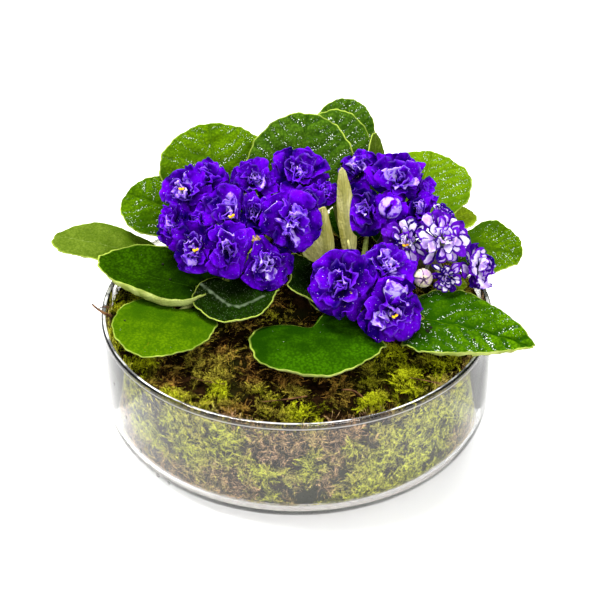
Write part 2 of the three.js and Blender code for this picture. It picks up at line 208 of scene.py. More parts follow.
def emboss(tree, shader, height, depth_mm, strength=1.0):
    """A bump: the skin looks raised where the height is high."""
    bump = node(tree, "ShaderNodeBump", {"Height": height, "Distance": depth_mm * MM, "Strength": strength})
    tree.links.new(bump.outputs[0], shader.inputs["Normal"])


print("colours can be mixed")

# %% [markdown]
# ## Handing a piece over
# Shapes are worked out in millimetres, like the solids. The last step makes them metres, turns every face
# outward, smooths the shading, gives the finish, and hides the solids that the piece stands for.

# %% Finish a piece
def deliver(name, bm, finish, nodes=()):
    """Makes the mesh a piece, with its finish, and hides the solids that it stands for."""
    bmesh.ops.recalc_face_normals(bm, faces=bm.faces[:])
    bmesh.ops.scale(bm, vec=(MM, MM, MM), verts=bm.verts[:])
    mesh = bpy.data.meshes.new(name)
    bm.to_mesh(mesh)
    bm.free()
    mesh.shade_smooth()
    mesh.materials.append(finish)
    piece = bpy.data.objects.new(name, mesh)
    bpy.context.collection.objects.link(piece)
    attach(piece, "root")
    if nodes:
        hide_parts(*nodes)
    triangles = sum(len(face.vertices) - 2 for face in mesh.polygons)
    print(f"{name}: {triangles} triangles")


# %% Shared ways to shape a piece
def layer_of(bm):
    return bm.verts.layers.float_color.get("marks") or bm.verts.layers.float_color.new("marks")


def turned_profile(bm, profile, steps):
    """Turns a profile of (radius, height) points into a closed round shape."""
    verts = [bm.verts.new((radius, 0, height)) for radius, height in profile]
    edges = [bm.edges.new(pair) for pair in zip(verts, verts[1:])]
    bmesh.ops.spin(bm, geom=verts + edges, cent=(0, 0, 0), axis=(0, 0, 1), angle=2 * math.pi, steps=steps,
                   use_merge=True)
    bmesh.ops.remove_doubles(bm, verts=bm.verts[:], dist=0.001)


def arc(centre, radius, start, end, steps):
    """Points of an arc in the profile's plane, from one angle in degrees to another."""
    angles = [math.radians(start + (end - start) * k / steps) for k in range(steps + 1)]
    return [(centre[0] + radius * math.cos(a), centre[1] + radius * math.sin(a)) for a in angles]


print("pieces can be turned and handed over")

# %% [markdown]
# ## The glass dish
# The dish is blown or pressed glass: 3 mm walls, a thicker flat bottom, a rounded lower corner and a
# fire-polished rim. It could be a cylinder with a bevel, but one profile turned round the axis gives the
# rim, both corners and the even wall at once. The shader is clear glass. At the full bending of light a
# thin wall would show mostly the white room, so it bends light less, which keeps the moss behind it
# clear, and a coat brings the reflections back. The rim's highlights are painted into the glass as a
# broken bright line with a fainter one below it, painted shade lies in a dark band under them, and near
# the table the glass looks faintly brown. Lamps shine through it, so the moss behind the wall is lit.

# %% The profile of the dish
RADIUS, HEIGHT, WALL, FLOOR, CORNER = 120, 76, 3, 5, 18
MIDWAY = 60

profile = [(0, 0), (MIDWAY, 0)]
profile += arc((RADIUS - CORNER, CORNER), CORNER, -90, 0, 12)
profile += arc((RADIUS - WALL / 2, HEIGHT - WALL / 2), WALL / 2, 0, 180, 10)
profile += arc((RADIUS - CORNER, CORNER + FLOOR - WALL), CORNER - WALL, 0, -90, 12)
profile += [(MIDWAY, FLOOR), (0, FLOOR)]
print("points in the dish's profile:", len(profile))

# %% The clear glass and its painted rim highlights and dark band
NEARLY_WHITE, FAINT_BROWN = (0.98, 0.99, 0.985, 1), (0.8, 0.72, 0.67, 1)
PAINTED_SHADE_DARK, PAINTED_HIGHLIGHT_WHITE = (0.2, 0.17, 0.13, 1), (1, 1, 1, 1)
glass, tree, shader = new_finish("clear_glass", Roughness=0.0, IOR=1.18, Coat_Weight=0.55, Coat_IOR=1.46,
                                 Coat_Roughness=0.0)
where = node(tree, "ShaderNodeTexCoord").outputs["Object"]
height = node(tree, "ShaderNodeSeparateXYZ", {0: where}).outputs[2]
level = node(tree, "ShaderNodeVectorMath", {0: where, 1: (1, 1, 0)}, operation="MULTIPLY").outputs[0]
radius = node(tree, "ShaderNodeVectorMath", {0: level}, operation="LENGTH").outputs["Value"]
below_rim = reckon(tree, "SUBTRACT", HEIGHT * MM, height)
outside = ease(tree, radius, (RADIUS - 0.8) * MM, (RADIUS - 0.4) * MM)
inner_edge = ease(tree, radius, (RADIUS - 1.3) * MM, (RADIUS - 0.9) * MM, 1.0, 0.0)
# painted highlights: a broken bright line on the rim's top and a fainter one below it, where the glass is
# made less clear so that they show white
painted_rim_highlight = times(tree, ease(tree, below_rim, 0.5 * MM, 0.7 * MM, 1.0, 0.0), inner_edge)
painted_rim_highlight = times(tree, painted_rim_highlight, ease(tree, grain(tree, 14, 4), 0.4, 0.6, 0.25, 1.0))
painted_low_highlight = times(tree, ease(tree, below_rim, 2.7 * MM, 2.8 * MM, 0.0, 0.5),
                 ease(tree, below_rim, 3.7 * MM, 3.8 * MM, 1.0, 0.0))
painted_low_highlight = times(tree, painted_low_highlight, outside)
# painted shade: a dark band under the rim's highlights
painted_shade_band = times(tree, outside, ease(tree, below_rim, 4.3 * MM, 4.5 * MM, 1.0, 0.0))
near_table = ease(tree, height, 2 * MM, 14 * MM, 1.0, 0.0)
tint = blend(tree, near_table, NEARLY_WHITE, FAINT_BROWN)
tint = blend(tree, painted_shade_band, tint, PAINTED_SHADE_DARK)
# all the painted highlights, where the glass is also made less clear
bright = reckon(tree, "MAXIMUM", painted_rim_highlight, painted_low_highlight)
give_colour(tree, shader, blend(tree, bright, tint, PAINTED_HIGHLIGHT_WHITE))
tree.links.new(ease(tree, bright, 0.0, 1.0, 1.0, 0.2), shader.inputs["Transmission Weight"])
clear = node(tree, "ShaderNodeBsdfTransparent", {"Color": (0.97, 0.99, 0.98, 1)})
shadow = node(tree, "ShaderNodeLightPath").outputs["Is Shadow Ray"]
see_through = node(tree, "ShaderNodeMixShader", {0: shadow, 1: shader.outputs[0], 2: clear.outputs[0]})
tree.links.new(see_through.outputs[0], tree.nodes["Material Output"].inputs["Surface"])

# %% Turn the dish
bm = bmesh.new()
turned_profile(bm, profile, 160)
deliver("dish", bm, glass, ["glass_dish"])

# %% [markdown]
# ## Water drops on the glass
# A few drops from watering cling to the lower part of the wall. Each is a flattened ball that sits on the
# outside of the wall, set by its angle round the dish and its height.

# %% Drops
# angle round the dish, height and size
DROPS = [(-66, 52, 0.9), (-51, 22, 1.3), (-44, 12, 1.6), (-40, 10, 1.2), (-58, 38, 0.7), (62, 46, 0.8),
         (-71, 30, 0.8), (140, 30, 1.3), (-150, 24, 1.1)]

water, tree, shader = new_finish("water", Base_Color=(1, 1, 1, 1), Roughness=0.0, IOR=1.33,
                                 Transmission_Weight=1.0)
emboss(tree, shader, grain(tree, 2), 0.01, 0.1)


def outer_radius(height):
    """How far the outside of the dish is from its axis."""
    drop = max(0.0, CORNER - height)
    return RADIUS - CORNER + math.sqrt(CORNER ** 2 - drop ** 2)


bm = bmesh.new()
for angle, height, size in DROPS:
    a = math.radians(angle)
    outward = Vector((math.sin(a), -math.cos(a), 0))
    lean = outward.to_track_quat("Z", "Y").to_matrix().to_4x4()
    place = Matrix.Translation(outward * (outer_radius(height) + 0.05) + Vector((0, 0, height))) @ lean
    bmesh.ops.create_uvsphere(bm, u_segments=14, v_segments=8, radius=size,
                              matrix=place @ Matrix.Diagonal((1, 1.15, 0.4, 1)))
deliver("water_drops", bm, water)

# %% [markdown]
# ## The bed of peat and moss
# Under the green, the dish is packed with dark peat and old moss. It fills the dish to the glass, and its
# top is a low, lumpy dome. The bed is a turned profile again, and then every point is pushed by noise, so
# that it has real hollows for the shadows to sit in.

# %% The room inside the glass
# the solids' dish has 36 sides, so a filling that clears them by CLEAR ends a little inside the round wall
CLEAR, BED_FLOOR, DISH_SIDES = 0.35, FLOOR + 0.4, 36
INSIDE = (RADIUS - WALL) * math.cos(math.pi / DISH_SIDES) - CLEAR
LEVEL, DOME, LUMP = 71, 3, 1.1


def bed_height(x, y):
    share = math.hypot(x, y) / RADIUS
    lumps = math.sin(x / 9) * math.cos(y / 11 + 1) + 0.7 * math.sin(x / 5.3 + y / 7.1)
    return LEVEL + DOME * (1 - share ** 2) + LUMP * lumps * (1 - share ** 6)


def keep_inside(point):
    """Moves a point of the filling back inside the glass."""
    radius = math.hypot(point.x, point.y)
    rise = max(BED_FLOOR, point.z)
    corner = CORNER - WALL
    limit = INSIDE
    drop = FLOOR + CLEAR + corner - rise
    if drop > 0:
        limit = INSIDE - corner + math.sqrt(max(0.0, corner ** 2 - drop ** 2))
    if radius > limit:
        point = Vector((point.x * limit / radius, point.y * limit / radius, rise))
    return Vector((point.x, point.y, rise))


print("the bed reaches", round(INSIDE, 2), "mm from the axis")

# %% Turn the bed and roughen it
peat, tree, shader = new_finish("peat", Roughness=0.95, Specular_IOR_Level=0.0)
crumbs = grain(tree, 2.4, 4)
patches = grain(tree, 22, 3)
# near-black peat: its own dark colour, deepened as painted shade for the gaps between the moss
soil = blend(tree, ease(tree, crumbs, 0.35, 0.7), paint("080402"), paint("24170a"))
soil = blend(tree, ease(tree, patches, 0.5, 0.62), soil, paint("181806"))
give_colour(tree, shader, soil)
emboss(tree, shader, crumbs, 1.2)

bm = bmesh.new()
edge, turn = INSIDE - 1.5, CORNER - WALL
side = [(0, BED_FLOOR), (50, BED_FLOOR)]
side += arc((edge - turn, BED_FLOOR + turn), turn, -90, 0, 8)
side += [(edge, z) for z in range(24, 70, 3)]
side += [(edge * k / 34, LEVEL) for k in range(34, -1, -1)]
turned_profile(bm, side, 180)
for vert in bm.verts:
    x, y, z = vert.co
    if z > LEVEL - 0.5:
        vert.co.z = bed_height(x, y) - 1.2 + 1.3 * noise.noise(Vector((x, y, 3)) / 3.1)
    elif z > BED_FLOOR + 0.1:
        push = 1.1 * noise.noise(Vector((x, y, z)) / 3.3)
        vert.co += Vector((x, y, 0)).normalized() * push
    vert.co = keep_inside(vert.co)
deliver("peat_bed", bm, peat, ["moss_bed"])

# %% [markdown]
# ## Moss
# The moss is a mass of fine shoots, yellow-green where it is fresh and olive or brown where it is old.
# Thousands of shoots are needed, so each has only a few dozen faces: a tuft is a bunch of slim spikes, a
# feather is a creeping stem with side shoots, and a strand is a few thin bent stems. A handful of them is
# modelled, and then set down again and again, turned and sized by chance, on the bed's top and flat
# against the inside of the glass. Noise gathers them into cushions with gaps between, and shade is
# painted into the moss of the gaps and near black at each shoot's root. Red in marks runs from a shoot's
# root to its tip, green says how fresh its patch is, and blue is painted light: low in the gaps, higher
# on fresh moss and bright behind the glass, with some chance in it.

# %% Where the moss is fresh
# Patches on the wall are (x, height, size), and patches on top (x, y, size). The rest is left to noise.
WALL_PATCHES = [(-72, 55, 14), (-64, 38, 12), (-42, 54, 13), (-18, 34, 11), (6, 42, 10), (-15, 20, 8),
                (22, 16, 9), (-96, 60, 16), (-84, 40, 13), (60, 44, 22), (84, 50, 24), (76, 26, 19),
                (46, 20, 15), (100, 44, 18), (34, 52, 6), (30, 11, 9), (-30, 62, 6)]
TOP_PATCHES = [(74, -72, 44), (45, -94, 14), (10, -103, 12), (-106, 0, 20), (-102, -50, 20), (-78, -90, 12),
               (98, -40, 20), (-45, -84, 8), (-24, -108, 8)]
# past this radius the moss on top is browner on the right
BROWN_EDGE = 111
print(len(WALL_PATCHES) + len(TOP_PATCHES), "fresh patches")


def freshness(point):
    """1 on fresh moss and 0 on bare brown peat."""
    rough = 0.5 + 0.9 * noise.noise(point / 19) + 0.5 * noise.noise(point / 7)
    if point.y < 30:
        radius = math.hypot(point.x, point.y)
        at_wall = radius > INSIDE - 5 and point.z < LEVEL - 2
        patches = WALL_PATCHES if at_wall else TOP_PATCHES
        across = point.z if at_wall else point.y
        best = max(1.25 - math.hypot(point.x - u, across - v) / size for u, v, size in patches)
        low, share, base = (-0.25, 0.75, 0.0) if at_wall else (0.0, 0.6, 0.04)
        rough = base + 0.55 * rough + share * max(low, min(1.0, best))
        if not at_wall and point.x > 20 and radius > BROWN_EDGE:
            rough -= 0.4
    return max(0.0, min(1.0, rough))


# %% Model the shoots
def spike(bm, root, tip, radius, start=0.0, end=1.0):
    """A slim three-sided spike from root to tip, with its marks."""
    layer = layer_of(bm)
    along = tip - root
    place = Matrix.Translation((root + tip) / 2) @ along.to_track_quat("Z", "Y").to_matrix().to_4x4()
    made = bmesh.ops.create_cone(bm, cap_ends=True, segments=3, radius1=radius, radius2=0,
                                 depth=along.length, matrix=place)
    for vert in made["verts"]:
        near = (vert.co - root).length < (vert.co - tip).length
        vert[layer] = (start if near else end, 0, 0, 1)
    return made["verts"]


def shoot_mesh(name, bm):
    bmesh.ops.remove_doubles(bm, verts=bm.verts[:], dist=0.0001)
    mesh = bpy.data.meshes.new(name)
    bm.to_mesh(mesh)
    bm.free()
    return mesh


print("spikes can be made")


# %% Tufts, feathers and strands
def tuft(name, spikes, spread, length, seed):
    """A bunch of spikes that open out from one root, up along Z."""
    chance = random.Random(seed)
    bm = bmesh.new()
    for _ in range(spikes):
        turn, lean = chance.uniform(0, 6.283), spread * chance.uniform(0.1, 1) ** 0.7
        way = Vector((math.cos(turn) * math.sin(lean), math.sin(turn) * math.sin(lean), math.cos(lean)))
        root = way * 0.3 + Vector((chance.uniform(-1, 1), chance.uniform(-1, 1), 0)) * 0.9
        spike(bm, root, root + way * length * chance.uniform(0.5, 1.1), 0.17)
    return shoot_mesh(name, bm)


def feather(name, length, seed):
    """A creeping stem with short side shoots to left and right, along X."""
    chance = random.Random(seed)
    bm = bmesh.new()
    last = Vector((0, 0, 0))
    for step in range(1, 7):
        share = step / 6
        here = Vector((length * share, 1.2 * math.sin(2.2 * share + seed), 0.8 * math.sin(3 * share)))
        spike(bm, last, here + (here - last) * 0.5, 0.2, share - 0.17, share)
        for hand in (-1, 1):
            way = Vector((0.7, hand * 0.8, chance.uniform(-0.3, 0.5))) * length * 0.3 * (1.25 - 0.8 * share)
            spike(bm, last.lerp(here, chance.random()), here + way, 0.16, share * 0.6, 1)
        last = here
    return shoot_mesh(name, bm)


def strand(name, length, seed):
    """Three thin dry stems that lie bent over each other, along X."""
    chance = random.Random(seed)
    bm = bmesh.new()
    for _ in range(3):
        turn, bend = chance.uniform(-0.7, 0.7), chance.uniform(-0.5, 0.5)
        last = Vector((0, chance.uniform(-1.5, 1.5), chance.uniform(-0.5, 0.5)))
        for step in range(4):
            here = last + Vector((math.cos(turn), math.sin(turn), chance.uniform(-0.12, 0.12))) * length / 4
            spike(bm, last, here + (here - last) * 0.3, 0.14, step / 4, step / 4 + 0.25)
            turn += bend
            last = here
    return shoot_mesh(name, bm)


TUFTS = [tuft(f"tuft_{k}", 15, 1.25, 4.0, k) for k in range(6)]
FEATHERS = [feather(f"feather_{k}", 7.0, k) for k in range(5)]
STRANDS = [strand(f"strand_{k}", 11, k) for k in range(6)]
print("shoots:", [len(mesh.polygons) for mesh in TUFTS + FEATHERS + STRANDS])

# %% The moss finish
def moss_finish(name, *tones):
    """Moss of three ages, each with the colour of its shoots in painted shade and in painted light."""
    finish, tree, shader = new_finish(name, Roughness=0.9, Specular_IOR_Level=0.0)
    tip, fresh, light, _ = marks_of(tree)
    # painted light: the light mark and fine noise choose between each age's colour in painted shade and in
    # painted light
    value = times(tree, light, ease(tree, grain(tree, 0.9, 2), 0.36, 0.6, 0.36, 1.5))
    value = ease(tree, value, 0.04, 0.9)
    young, olive, brown = (blend(tree, value, *map(paint, pair)) for pair in tones)
    tone = blend(tree, ease(tree, fresh, 0.12, 0.42), brown, olive)
    tone = blend(tree, ease(tree, fresh, 0.42, 0.8), tone, young)
    # painted shade deep in the mat: near black at each shoot's root
    give_colour(tree, shader, blend(tree, ease(tree, tip, 0.1, 0.95), paint("0a0601"), tone))
    return finish


# each pair is an age's colour in painted shade and in painted light; the copy behind the glass is painted
# brighter, as its light comes through the glass
moss = moss_finish("moss", ("141800", "f0fa28"), ("0c0a00", "e0d04c"), ("0a0400", "e4ac50"))
brightened_wall_moss = moss_finish("moss_behind_glass_painted_brighter", ("566004", "ffff58"), ("2a2804", "f4e868"),
                        ("2a1608", "f4c490"))
print("moss finishes:", moss.name, brightened_wall_moss.name)


# %% Places for the shoots
def set_down(bm, mesh, place, fresh, light):
    """Adds a copy of a shoot, with its freshness and light in its marks."""
    marks = mesh.color_attributes["marks"].data
    marks.foreach_set("color", [part for mark in marks for part in (mark.color[0], fresh, light, 1)])
    mesh.transform(place)
    bm.from_mesh(mesh)
    mesh.transform(place.inverted())


def on_wall(chance):
    """A place just inside the glass, with the way out to it."""
    turn = chance.uniform(0, 2 * math.pi)
    height = chance.uniform(FLOOR + 3, LEVEL + 1)
    out = Vector((math.cos(turn), math.sin(turn), 0))
    if height < 20:
        out = (out + Vector((0, 0, -0.9 * (20 - height) / 15))).normalized()
    base = keep_inside(Vector((math.cos(turn), math.sin(turn), 0)) * (INSIDE - 0.9) + Vector((0, 0, height)))
    return base, out


def on_top(chance):
    """A place on the bed, with the way that its top looks there."""
    radius, turn = (INSIDE - 2) * math.sqrt(chance.random()), chance.uniform(0, 2 * math.pi)
    x, y = radius * math.cos(turn), radius * math.sin(turn)
    return Vector((x, y, bed_height(x, y) - 0.9)), Vector((x / 260, y / 260, 1)).normalized()


print("shoots can be set down")

# %% Set the shoots down
# inside the first radius the leaves hide the moss, and inside the second its old shoots are loose, with gaps
UNDER_LEAVES, LOOSE_WITHIN = 85, 108


def moss_piece(name, place_maker, count, seed, flat):
    """Many shoots in one piece; flat ones lie against the glass."""
    chance = random.Random(seed)
    bm = bmesh.new()
    layer_of(bm)
    for _ in range(count):
        base, out = place_maker(chance)
        radius = math.hypot(base.x, base.y)
        cushion = noise.noise(base / (8 if flat else 10))
        hidden = not flat and base.y > -30 and radius < UNDER_LEAVES
        fresh = freshness(base)
        loose = fresh < 0.65 and (flat or radius < LOOSE_WITHIN)
        gap = -0.02 if loose else -0.28
        if cushion < chance.uniform(-0.36, gap) or hidden and chance.random() < 0.6:
            continue
        # painted light: low in the gaps between cushions, higher on fresh moss, and even and bright on the
        # glass
        least = 0.1 + 0.5 * max(0.0, fresh - 0.5)
        light = 1.12 if flat else max(least, min(1.15, 0.42 + 3.2 * cushion)) * (0.8 + 0.5 * fresh)
        pick = chance.random()
        stand = out.to_track_quat("Z", "Y").to_matrix().to_4x4()
        spin = Matrix.Rotation(chance.uniform(0, 2 * math.pi), 4, "Z")
        size = chance.uniform(*((0.7, 1.2) if flat else (0.5, 1.0))) * (1 + 0.5 * cushion)
        if pick > fresh * 1.6 + 0.15:
            kind, press, size = chance.choice(STRANDS), 0.5, 0.75 * size
        elif pick < 0.45:
            kind, press = chance.choice(FEATHERS), 0.8
        else:
            kind, press = chance.choice(TUFTS), 1.0
        lean = Matrix.Rotation(0 if flat else chance.gauss(0, 0.3), 4, "X")
        press = Matrix.Diagonal((size, size, size * (min(press, 0.4) if flat else press), 1))
        lift = Matrix.Translation(out * (0 if flat else 3.6 * max(-0.1, cushion)))
        place = lift @ Matrix.Translation(base) @ stand @ spin @ lean @ press
        set_down(bm, kind, place, fresh, light * chance.uniform(0.35, 1.0))
    for vert in bm.verts:
        vert.co = keep_inside(vert.co)
    deliver(name, bm, brightened_wall_moss if flat else moss)


for part in range(3):
    moss_piece(f"moss_on_wall_{part}", on_wall, 3600, 11 + part, True)
    moss_piece(f"moss_on_top_{part}", on_top, 4700, 21 + part, False)

# %% [markdown]
# ## Twigs and dry stalks
# Bits of dead plant lie in the moss. Two short twigs lean over the rim on the left, and a few dry stalks
# cross the moss in front. Each is a bent tapering stem.

# %% Twigs and their finish
# start, bend and end of each stem, and how thick it is
TWIGS = [((-124.5, -11, 84.5), (-120, -14, 81), (-113, -12, 76), 1.1),
         ((-120, -12, 82), (-118, -9, 82), (-115, -4, 77), 0.6),
         ((-20, -94, 73), (-8, -98, 77), (6, -90, 74), 0.5),
         ((40, -96, 73), (36, -88, 79), (26, -84, 74), 0.5),
         ((-62, -70, 73), (-50, -82, 77), (-40, -78, 74), 0.4),
         ((66, -72, 74), (74, -80, 78), (84, -78, 74), 0.4)]

dry, _, _ = mottled_finish("dry_stalk", (3, 3, 0.35, 0.65, "2a1006", "7a5434"), Roughness=0.8,
                           Specular_IOR_Level=0.2)
print(len(TWIGS), "twigs")

# %% [markdown]
# ## The plants' plan
# The leaves and flowers stand where the solids have them, so this is the same plan of crowns, leaves,
# flowers and stalks, in millimetres. A few leaves are moved or reshaped by a few millimetres to follow
# the real ones more closely. Each flower fills a ball, and where two balls meet, a plane between them is
# the border. Leaves bend clear of the balls.

# %% Crowns and leaves
CROWNS = {"left": (-38, 30), "right": (40, 18), "back": (84, 46)}

# name: crown, level on the crown, joint of stalk and blade, tip, width and upper side; then arch, cup, wave,
# fold and point; and then depth of the quilting, green, how far the front edge is turned up, and water beads
LEAVES = {
    "far_left": ("left", 85, (-88, 41, 81), (-155, 59, 88.5), 45, (0, 0.05, 1),
                 (0.05, 0.04, 0.03, 0, -0.2), (1.5, "grey", 1, 0)),
    "left": ("left", 82, (-54, 0, 87.5), (-123, 24, 94), 57, (0, 0, 1),
             (-0.03, 0.06, 0.04, 0, 0.33), (0.7, "deep", 6, 12)),
    "front_left": ("left", 78, (-71, -14, 84), (-92, -66, 84), 61, (0, -0.1, 1),
                   (0.05, -0.03, 0.02, 0, 0.12), (0.8, "spotted", 1, 12)),
    "under_left": ("left", 86, (-40.5, 2, 95), (-32, -38, 88.5), 52, (-0.12, -0.1, 1),
                   (0.02, 0.06, 0.04, 0, 0.12), (0.5, "shade", 2, 0)),
    "front": ("right", 77.5, (7, -34, 85), (24, -84, 82), 81, (0, -0.12, 1),
              (0.06, -0.02, 0.02, 0, 0.12), (0.6, "mid", 3, 16)),
    "right": ("right", 80, (70, -34.5, 90), (140, -58, 84.5), 54, (0.1, -0.22, 1),
              (0.05, -0.02, 0.03, 0, 0.5), (2.6, "wet", 4, 160)),
    "right_back": ("back", 82, (104, 42, 90), (141, 33, 91), 56, (0, -0.1, 1),
                   (0.05, 0.05, 0.04, 0, 0.12), (1.6, "light", 1, 200)),
    "right_tiny": ("back", 79, (96, 0, 88.5), (98, 2, 101), 14, (0, -1, 0.2),
                   (0.1, 0.15, 0.05, 0, 0.12), (0.6, "yellow", 0, 0)),
    "right_small": ("back", 80, (94, 74, 88), (115, 84, 91), 30, (0, 0, 1),
                    (0.05, 0.05, 0.03, 0, 0.12), (0.7, "yellow", 1, 0)),
    "back_right": ("back", 86, (75, 72, 98), (90, 119, 116), 64, (-0.1, -0.6, 1),
                   (0.06, 0.1, 0.04, 0, 0.12), (2.6, "bright", 0, 200)),
    "back_top": ("back", 82, (27, 104, 118), (34, 133, 149), 43, (-0.2, -1, 0.8),
                 (0.04, 0.08, 0.03, 0, 0.12), (1.6, "mid_back", 0, 130)),
    "back_middle": ("right", 84, (20, 76, 112), (27, 112, 152), 52, (-0.1, -1, 0.8),
                    (0.03, 0.06, 0.02, 0, 0.12), (1.6, "mid_back", 0, 180)),
    "back_main": ("left", 84, (0, 60, 112), (7, 102, 155), 68, (-0.1, -1, 0.8),
                  (0.04, 0.08, 0.02, 0, 0.12), (2.6, "mid_back", 0, 200)),
    "back_left": ("left", 84, (-50, 72, 108), (-57, 117, 139), 70, (0, -0.8, 1),
                  (0.06, 0.1, 0.02, 0, 0.12), (2.2, "light", 0, 200)),
    "left_back": ("left", 78, (-70, 64, 99), (-110, 86, 105), 54, (0.1, -0.4, 1),
                  (0.05, 0.08, 0.03, 0, 0.12), (2.0, "fresh", 0, 140)),
    "edge_on": ("back", 77.7, (42, 70, 112), (50, 94, 145), 26, (0.9, -0.5, 0.2),
                (0.05, 0.2, 0, 0, 0.12), (0.5, "grey", 0, 0)),
    "upright_tall": ("right", 86.5, (32.5, 18, 102), (27, 23, 160), 18, (0, 1, 0.1),
                     (-0.02, 0.3, 0.03, 55, 0.3), (0.4, "pale", 0, 0)),
    "upright_short": ("right", 84.2, (22, 12, 98), (15, 12, 138), 26, (-0.5, 1, 0),
                      (0.03, 0.3, 0.04, 45, 0.12), (0.4, "pale", 0, 0)),
    "middle_dark": ("right", 80.5, (16, 3, 94), (-7, -12, 101.5), 41, (-0.3, -0.5, 0.9),
                    (-0.06, 0.1, 0.05, 0, 0.12), (0.6, "shade", 1, 6)),
    "middle_small": ("right", 84, (27, -6, 86), (10, -21, 88.4), 28, (0, -0.2, 1),
                     (0.05, 0, 0.03, 0, 0.12), (0.4, "deep", 1, 0)),
    "rear_low_left": ("left", 79, (-22, 66, 86), (-18, 114, 88), 58, (0, 0, 1),
                      (0.06, 0.04, 0.03, 0, 0.12), (1.0, "mid", 0, 40)),
    "rear_low_right": ("right", 78.5, (44, 62, 85), (52, 110, 86), 54, (0, 0, 1),
                       (0.06, 0.04, 0.03, 0, 0.12), (1.0, "mid", 0, 40)),
}

# %% Flowers and stalks
# name: stalk, the flower's middle, the way that it faces, its radius, how far it is open, its turn
BLOOMS = {
    "left_a": ("left", (-68, 50, 126), (-0.5, -0.6, 0.6), 16, 1, 20),
    "left_b": ("left", (-42, 24, 125), (0.05, -0.65, 0.7), 18.5, 1, 50),
    "left_c": ("left", (-75, 31, 115), (-0.7, -0.6, 0.3), 12.5, 0.8, 0),
    "left_d": ("left", (-61, 10, 112), (-0.3, -0.85, 0.4), 15, 0.9, 35),
    "left_e": ("left", (-41, 2, 116), (0.1, -0.9, 0.4), 16.5, 0.7, 10),
    "left_f": ("left", (-58, 67, 123), (-0.2, -0.3, 1), 15, 0.8, 60),
    "left_g": ("left", (-26, 50, 134), (0.1, -0.5, 0.9), 14, 0.6, 15),
    "left_h": ("left", (1, 56, 135), (0.1, -0.5, 0.85), 17.5, 0.8, 40),
    "left_i": ("left", (16, 43, 131), (0.4, -0.6, 0.7), 8, 0.4, 0),
    "left_j": ("left", (-4, 8, 131), (0.35, -0.75, 0.55), 17.5, 0.9, 25),
    "left_k": ("left", (-19, -2, 109), (0.1, -0.9, 0.3), 15.5, 0.6, 5),
    "left_l": ("left", (5, 30, 131), (0.3, -0.4, 0.9), 11, 0.6, 30),
    "left_m": ("left", (-26, 24, 126), (0.1, -0.6, 0.8), 13.5, 0.7, 10),
    "left_n": ("left", (-60, 31, 117), (-0.2, -0.7, 0.6), 11, 0.8, 30),
    "right_a": ("right", (62, 47, 136), (0.2, -0.5, 0.8), 18.5, 0.9, 10),
    "right_b": ("right", (40, 64, 133), (-0.3, -0.2, 1), 12.5, 0.5, 30),
    "right_c": ("right", (44, 37, 122), (-0.2, -0.7, 0.6), 15.5, 0.7, 55),
    "right_d": ("right", (57, 28, 129), (0, -0.8, 0.6), 9.5, 0.3, 0),
    "right_e": ("right", (76, 52, 126), (0.7, -0.3, 0.6), 11, 0.7, 20),
    "right_f": ("right", (74, 34, 124), (0.4, -0.6, 0.7), 10, 0.6, 50),
    "mixed_a": ("back", (87, 0, 123), (0.25, -0.7, 0.6), 18, 0.8, 15),
    "mixed_b": ("back", (67, 9, 117), (-0.2, -0.8, 0.6), 15, 0.8, 40),
    "mixed_c": ("back", (110, 0, 104), (0.8, -0.4, 0.4), 12.5, 0.8, 0),
    "mixed_d": ("back", (87, 29, 121), (0.3, -0.1, 1), 11, 0.7, 50),
    "mixed_e": ("back", (89.5, -12, 105.5), (0.1, -1, 0.15), 10, 0.8, 30),
    "front_a": ("front", (28, -30, 111), (-0.3, -0.75, 0.6), 20, 0.9, 30),
    "front_b": ("front", (54, -14, 111), (0.1, -0.6, 0.8), 16.5, 0.7, 15),
    "front_c": ("front", (55, -42, 100.6), (0.2, -0.9, 0.3), 18.5, 0.8, 50),
    "bud": ("back", (76, -12, 104), (0, -0.9, 0.4), 5.5, 0, 0),
}
# name: crown, and the spot where the stalk forks
STALKS = {"left": ("left", (-36, 34, 108)), "right": ("right", (54, 34, 106)),
          "back": ("back", (84, 24, 98)), "front": ("right", (44, -4, 94))}

BALLS = {name: (Vector(at) + Vector(face).normalized() * 0.22 * radius, radius)
         for name, (_, at, face, radius, _, _) in BLOOMS.items()}
print(len(LEAVES), "leaves,", len(BLOOMS) - 1, "flowers and a bud")


# %% Keeping flowers and leaves apart
LEAF_GAP = 2.4


def neighbours_of(name):
    """The way to each flower close by, and how far off the border with it is."""
    own, radius = BALLS[name]
    found = []
    for other, (centre, size) in BALLS.items():
        gap = centre - own
        if other != name and gap.length < radius + size + 4:
            found.append((gap.normalized(), gap.length * radius / (radius + size) - 0.65))
    return found


def keep_in_ball(point, name, neighbours):
    """Draws a point into its flower's ball, which bulges a little where it meets another."""
    own, radius = BALLS[name]
    reach = point - own
    far = max(reach.length, 1e-6)
    slopes = [(reach.dot(way) / far, border) for way, border in neighbours]
    radius = (radius + 1.0) * (1 + 0.22 * max([0, *(slope for slope, _ in slopes)]) ** 3)
    room = radius
    for slope, border in slopes:
        if slope > 0:
            room = min(room, border / slope)
    return own + reach * (room / max(radius, far))


def keep_off_flowers(point):
    for centre, radius in BALLS.values():
        away = point - centre
        if away.length < radius + LEAF_GAP:
            point = centre + away.normalized() * (radius + LEAF_GAP)
    return point


print(len(BALLS), "balls keep the flowers and leaves apart")

# %% [markdown]
# ## Blades: one way to make every leaf and petal
# A leaf and a petal are both thin, round-edged blades. A square grid is pressed into a disc, so that its
# rows run smoothly to the edge with no pole in the middle. A rule then lays each point of the disc out in
# space. The solidify operator would give it thickness, but it throws points far out where a petal is
# folded sharply, so the faces are extruded instead, and the two sides are moved apart along each point's
# own normal.

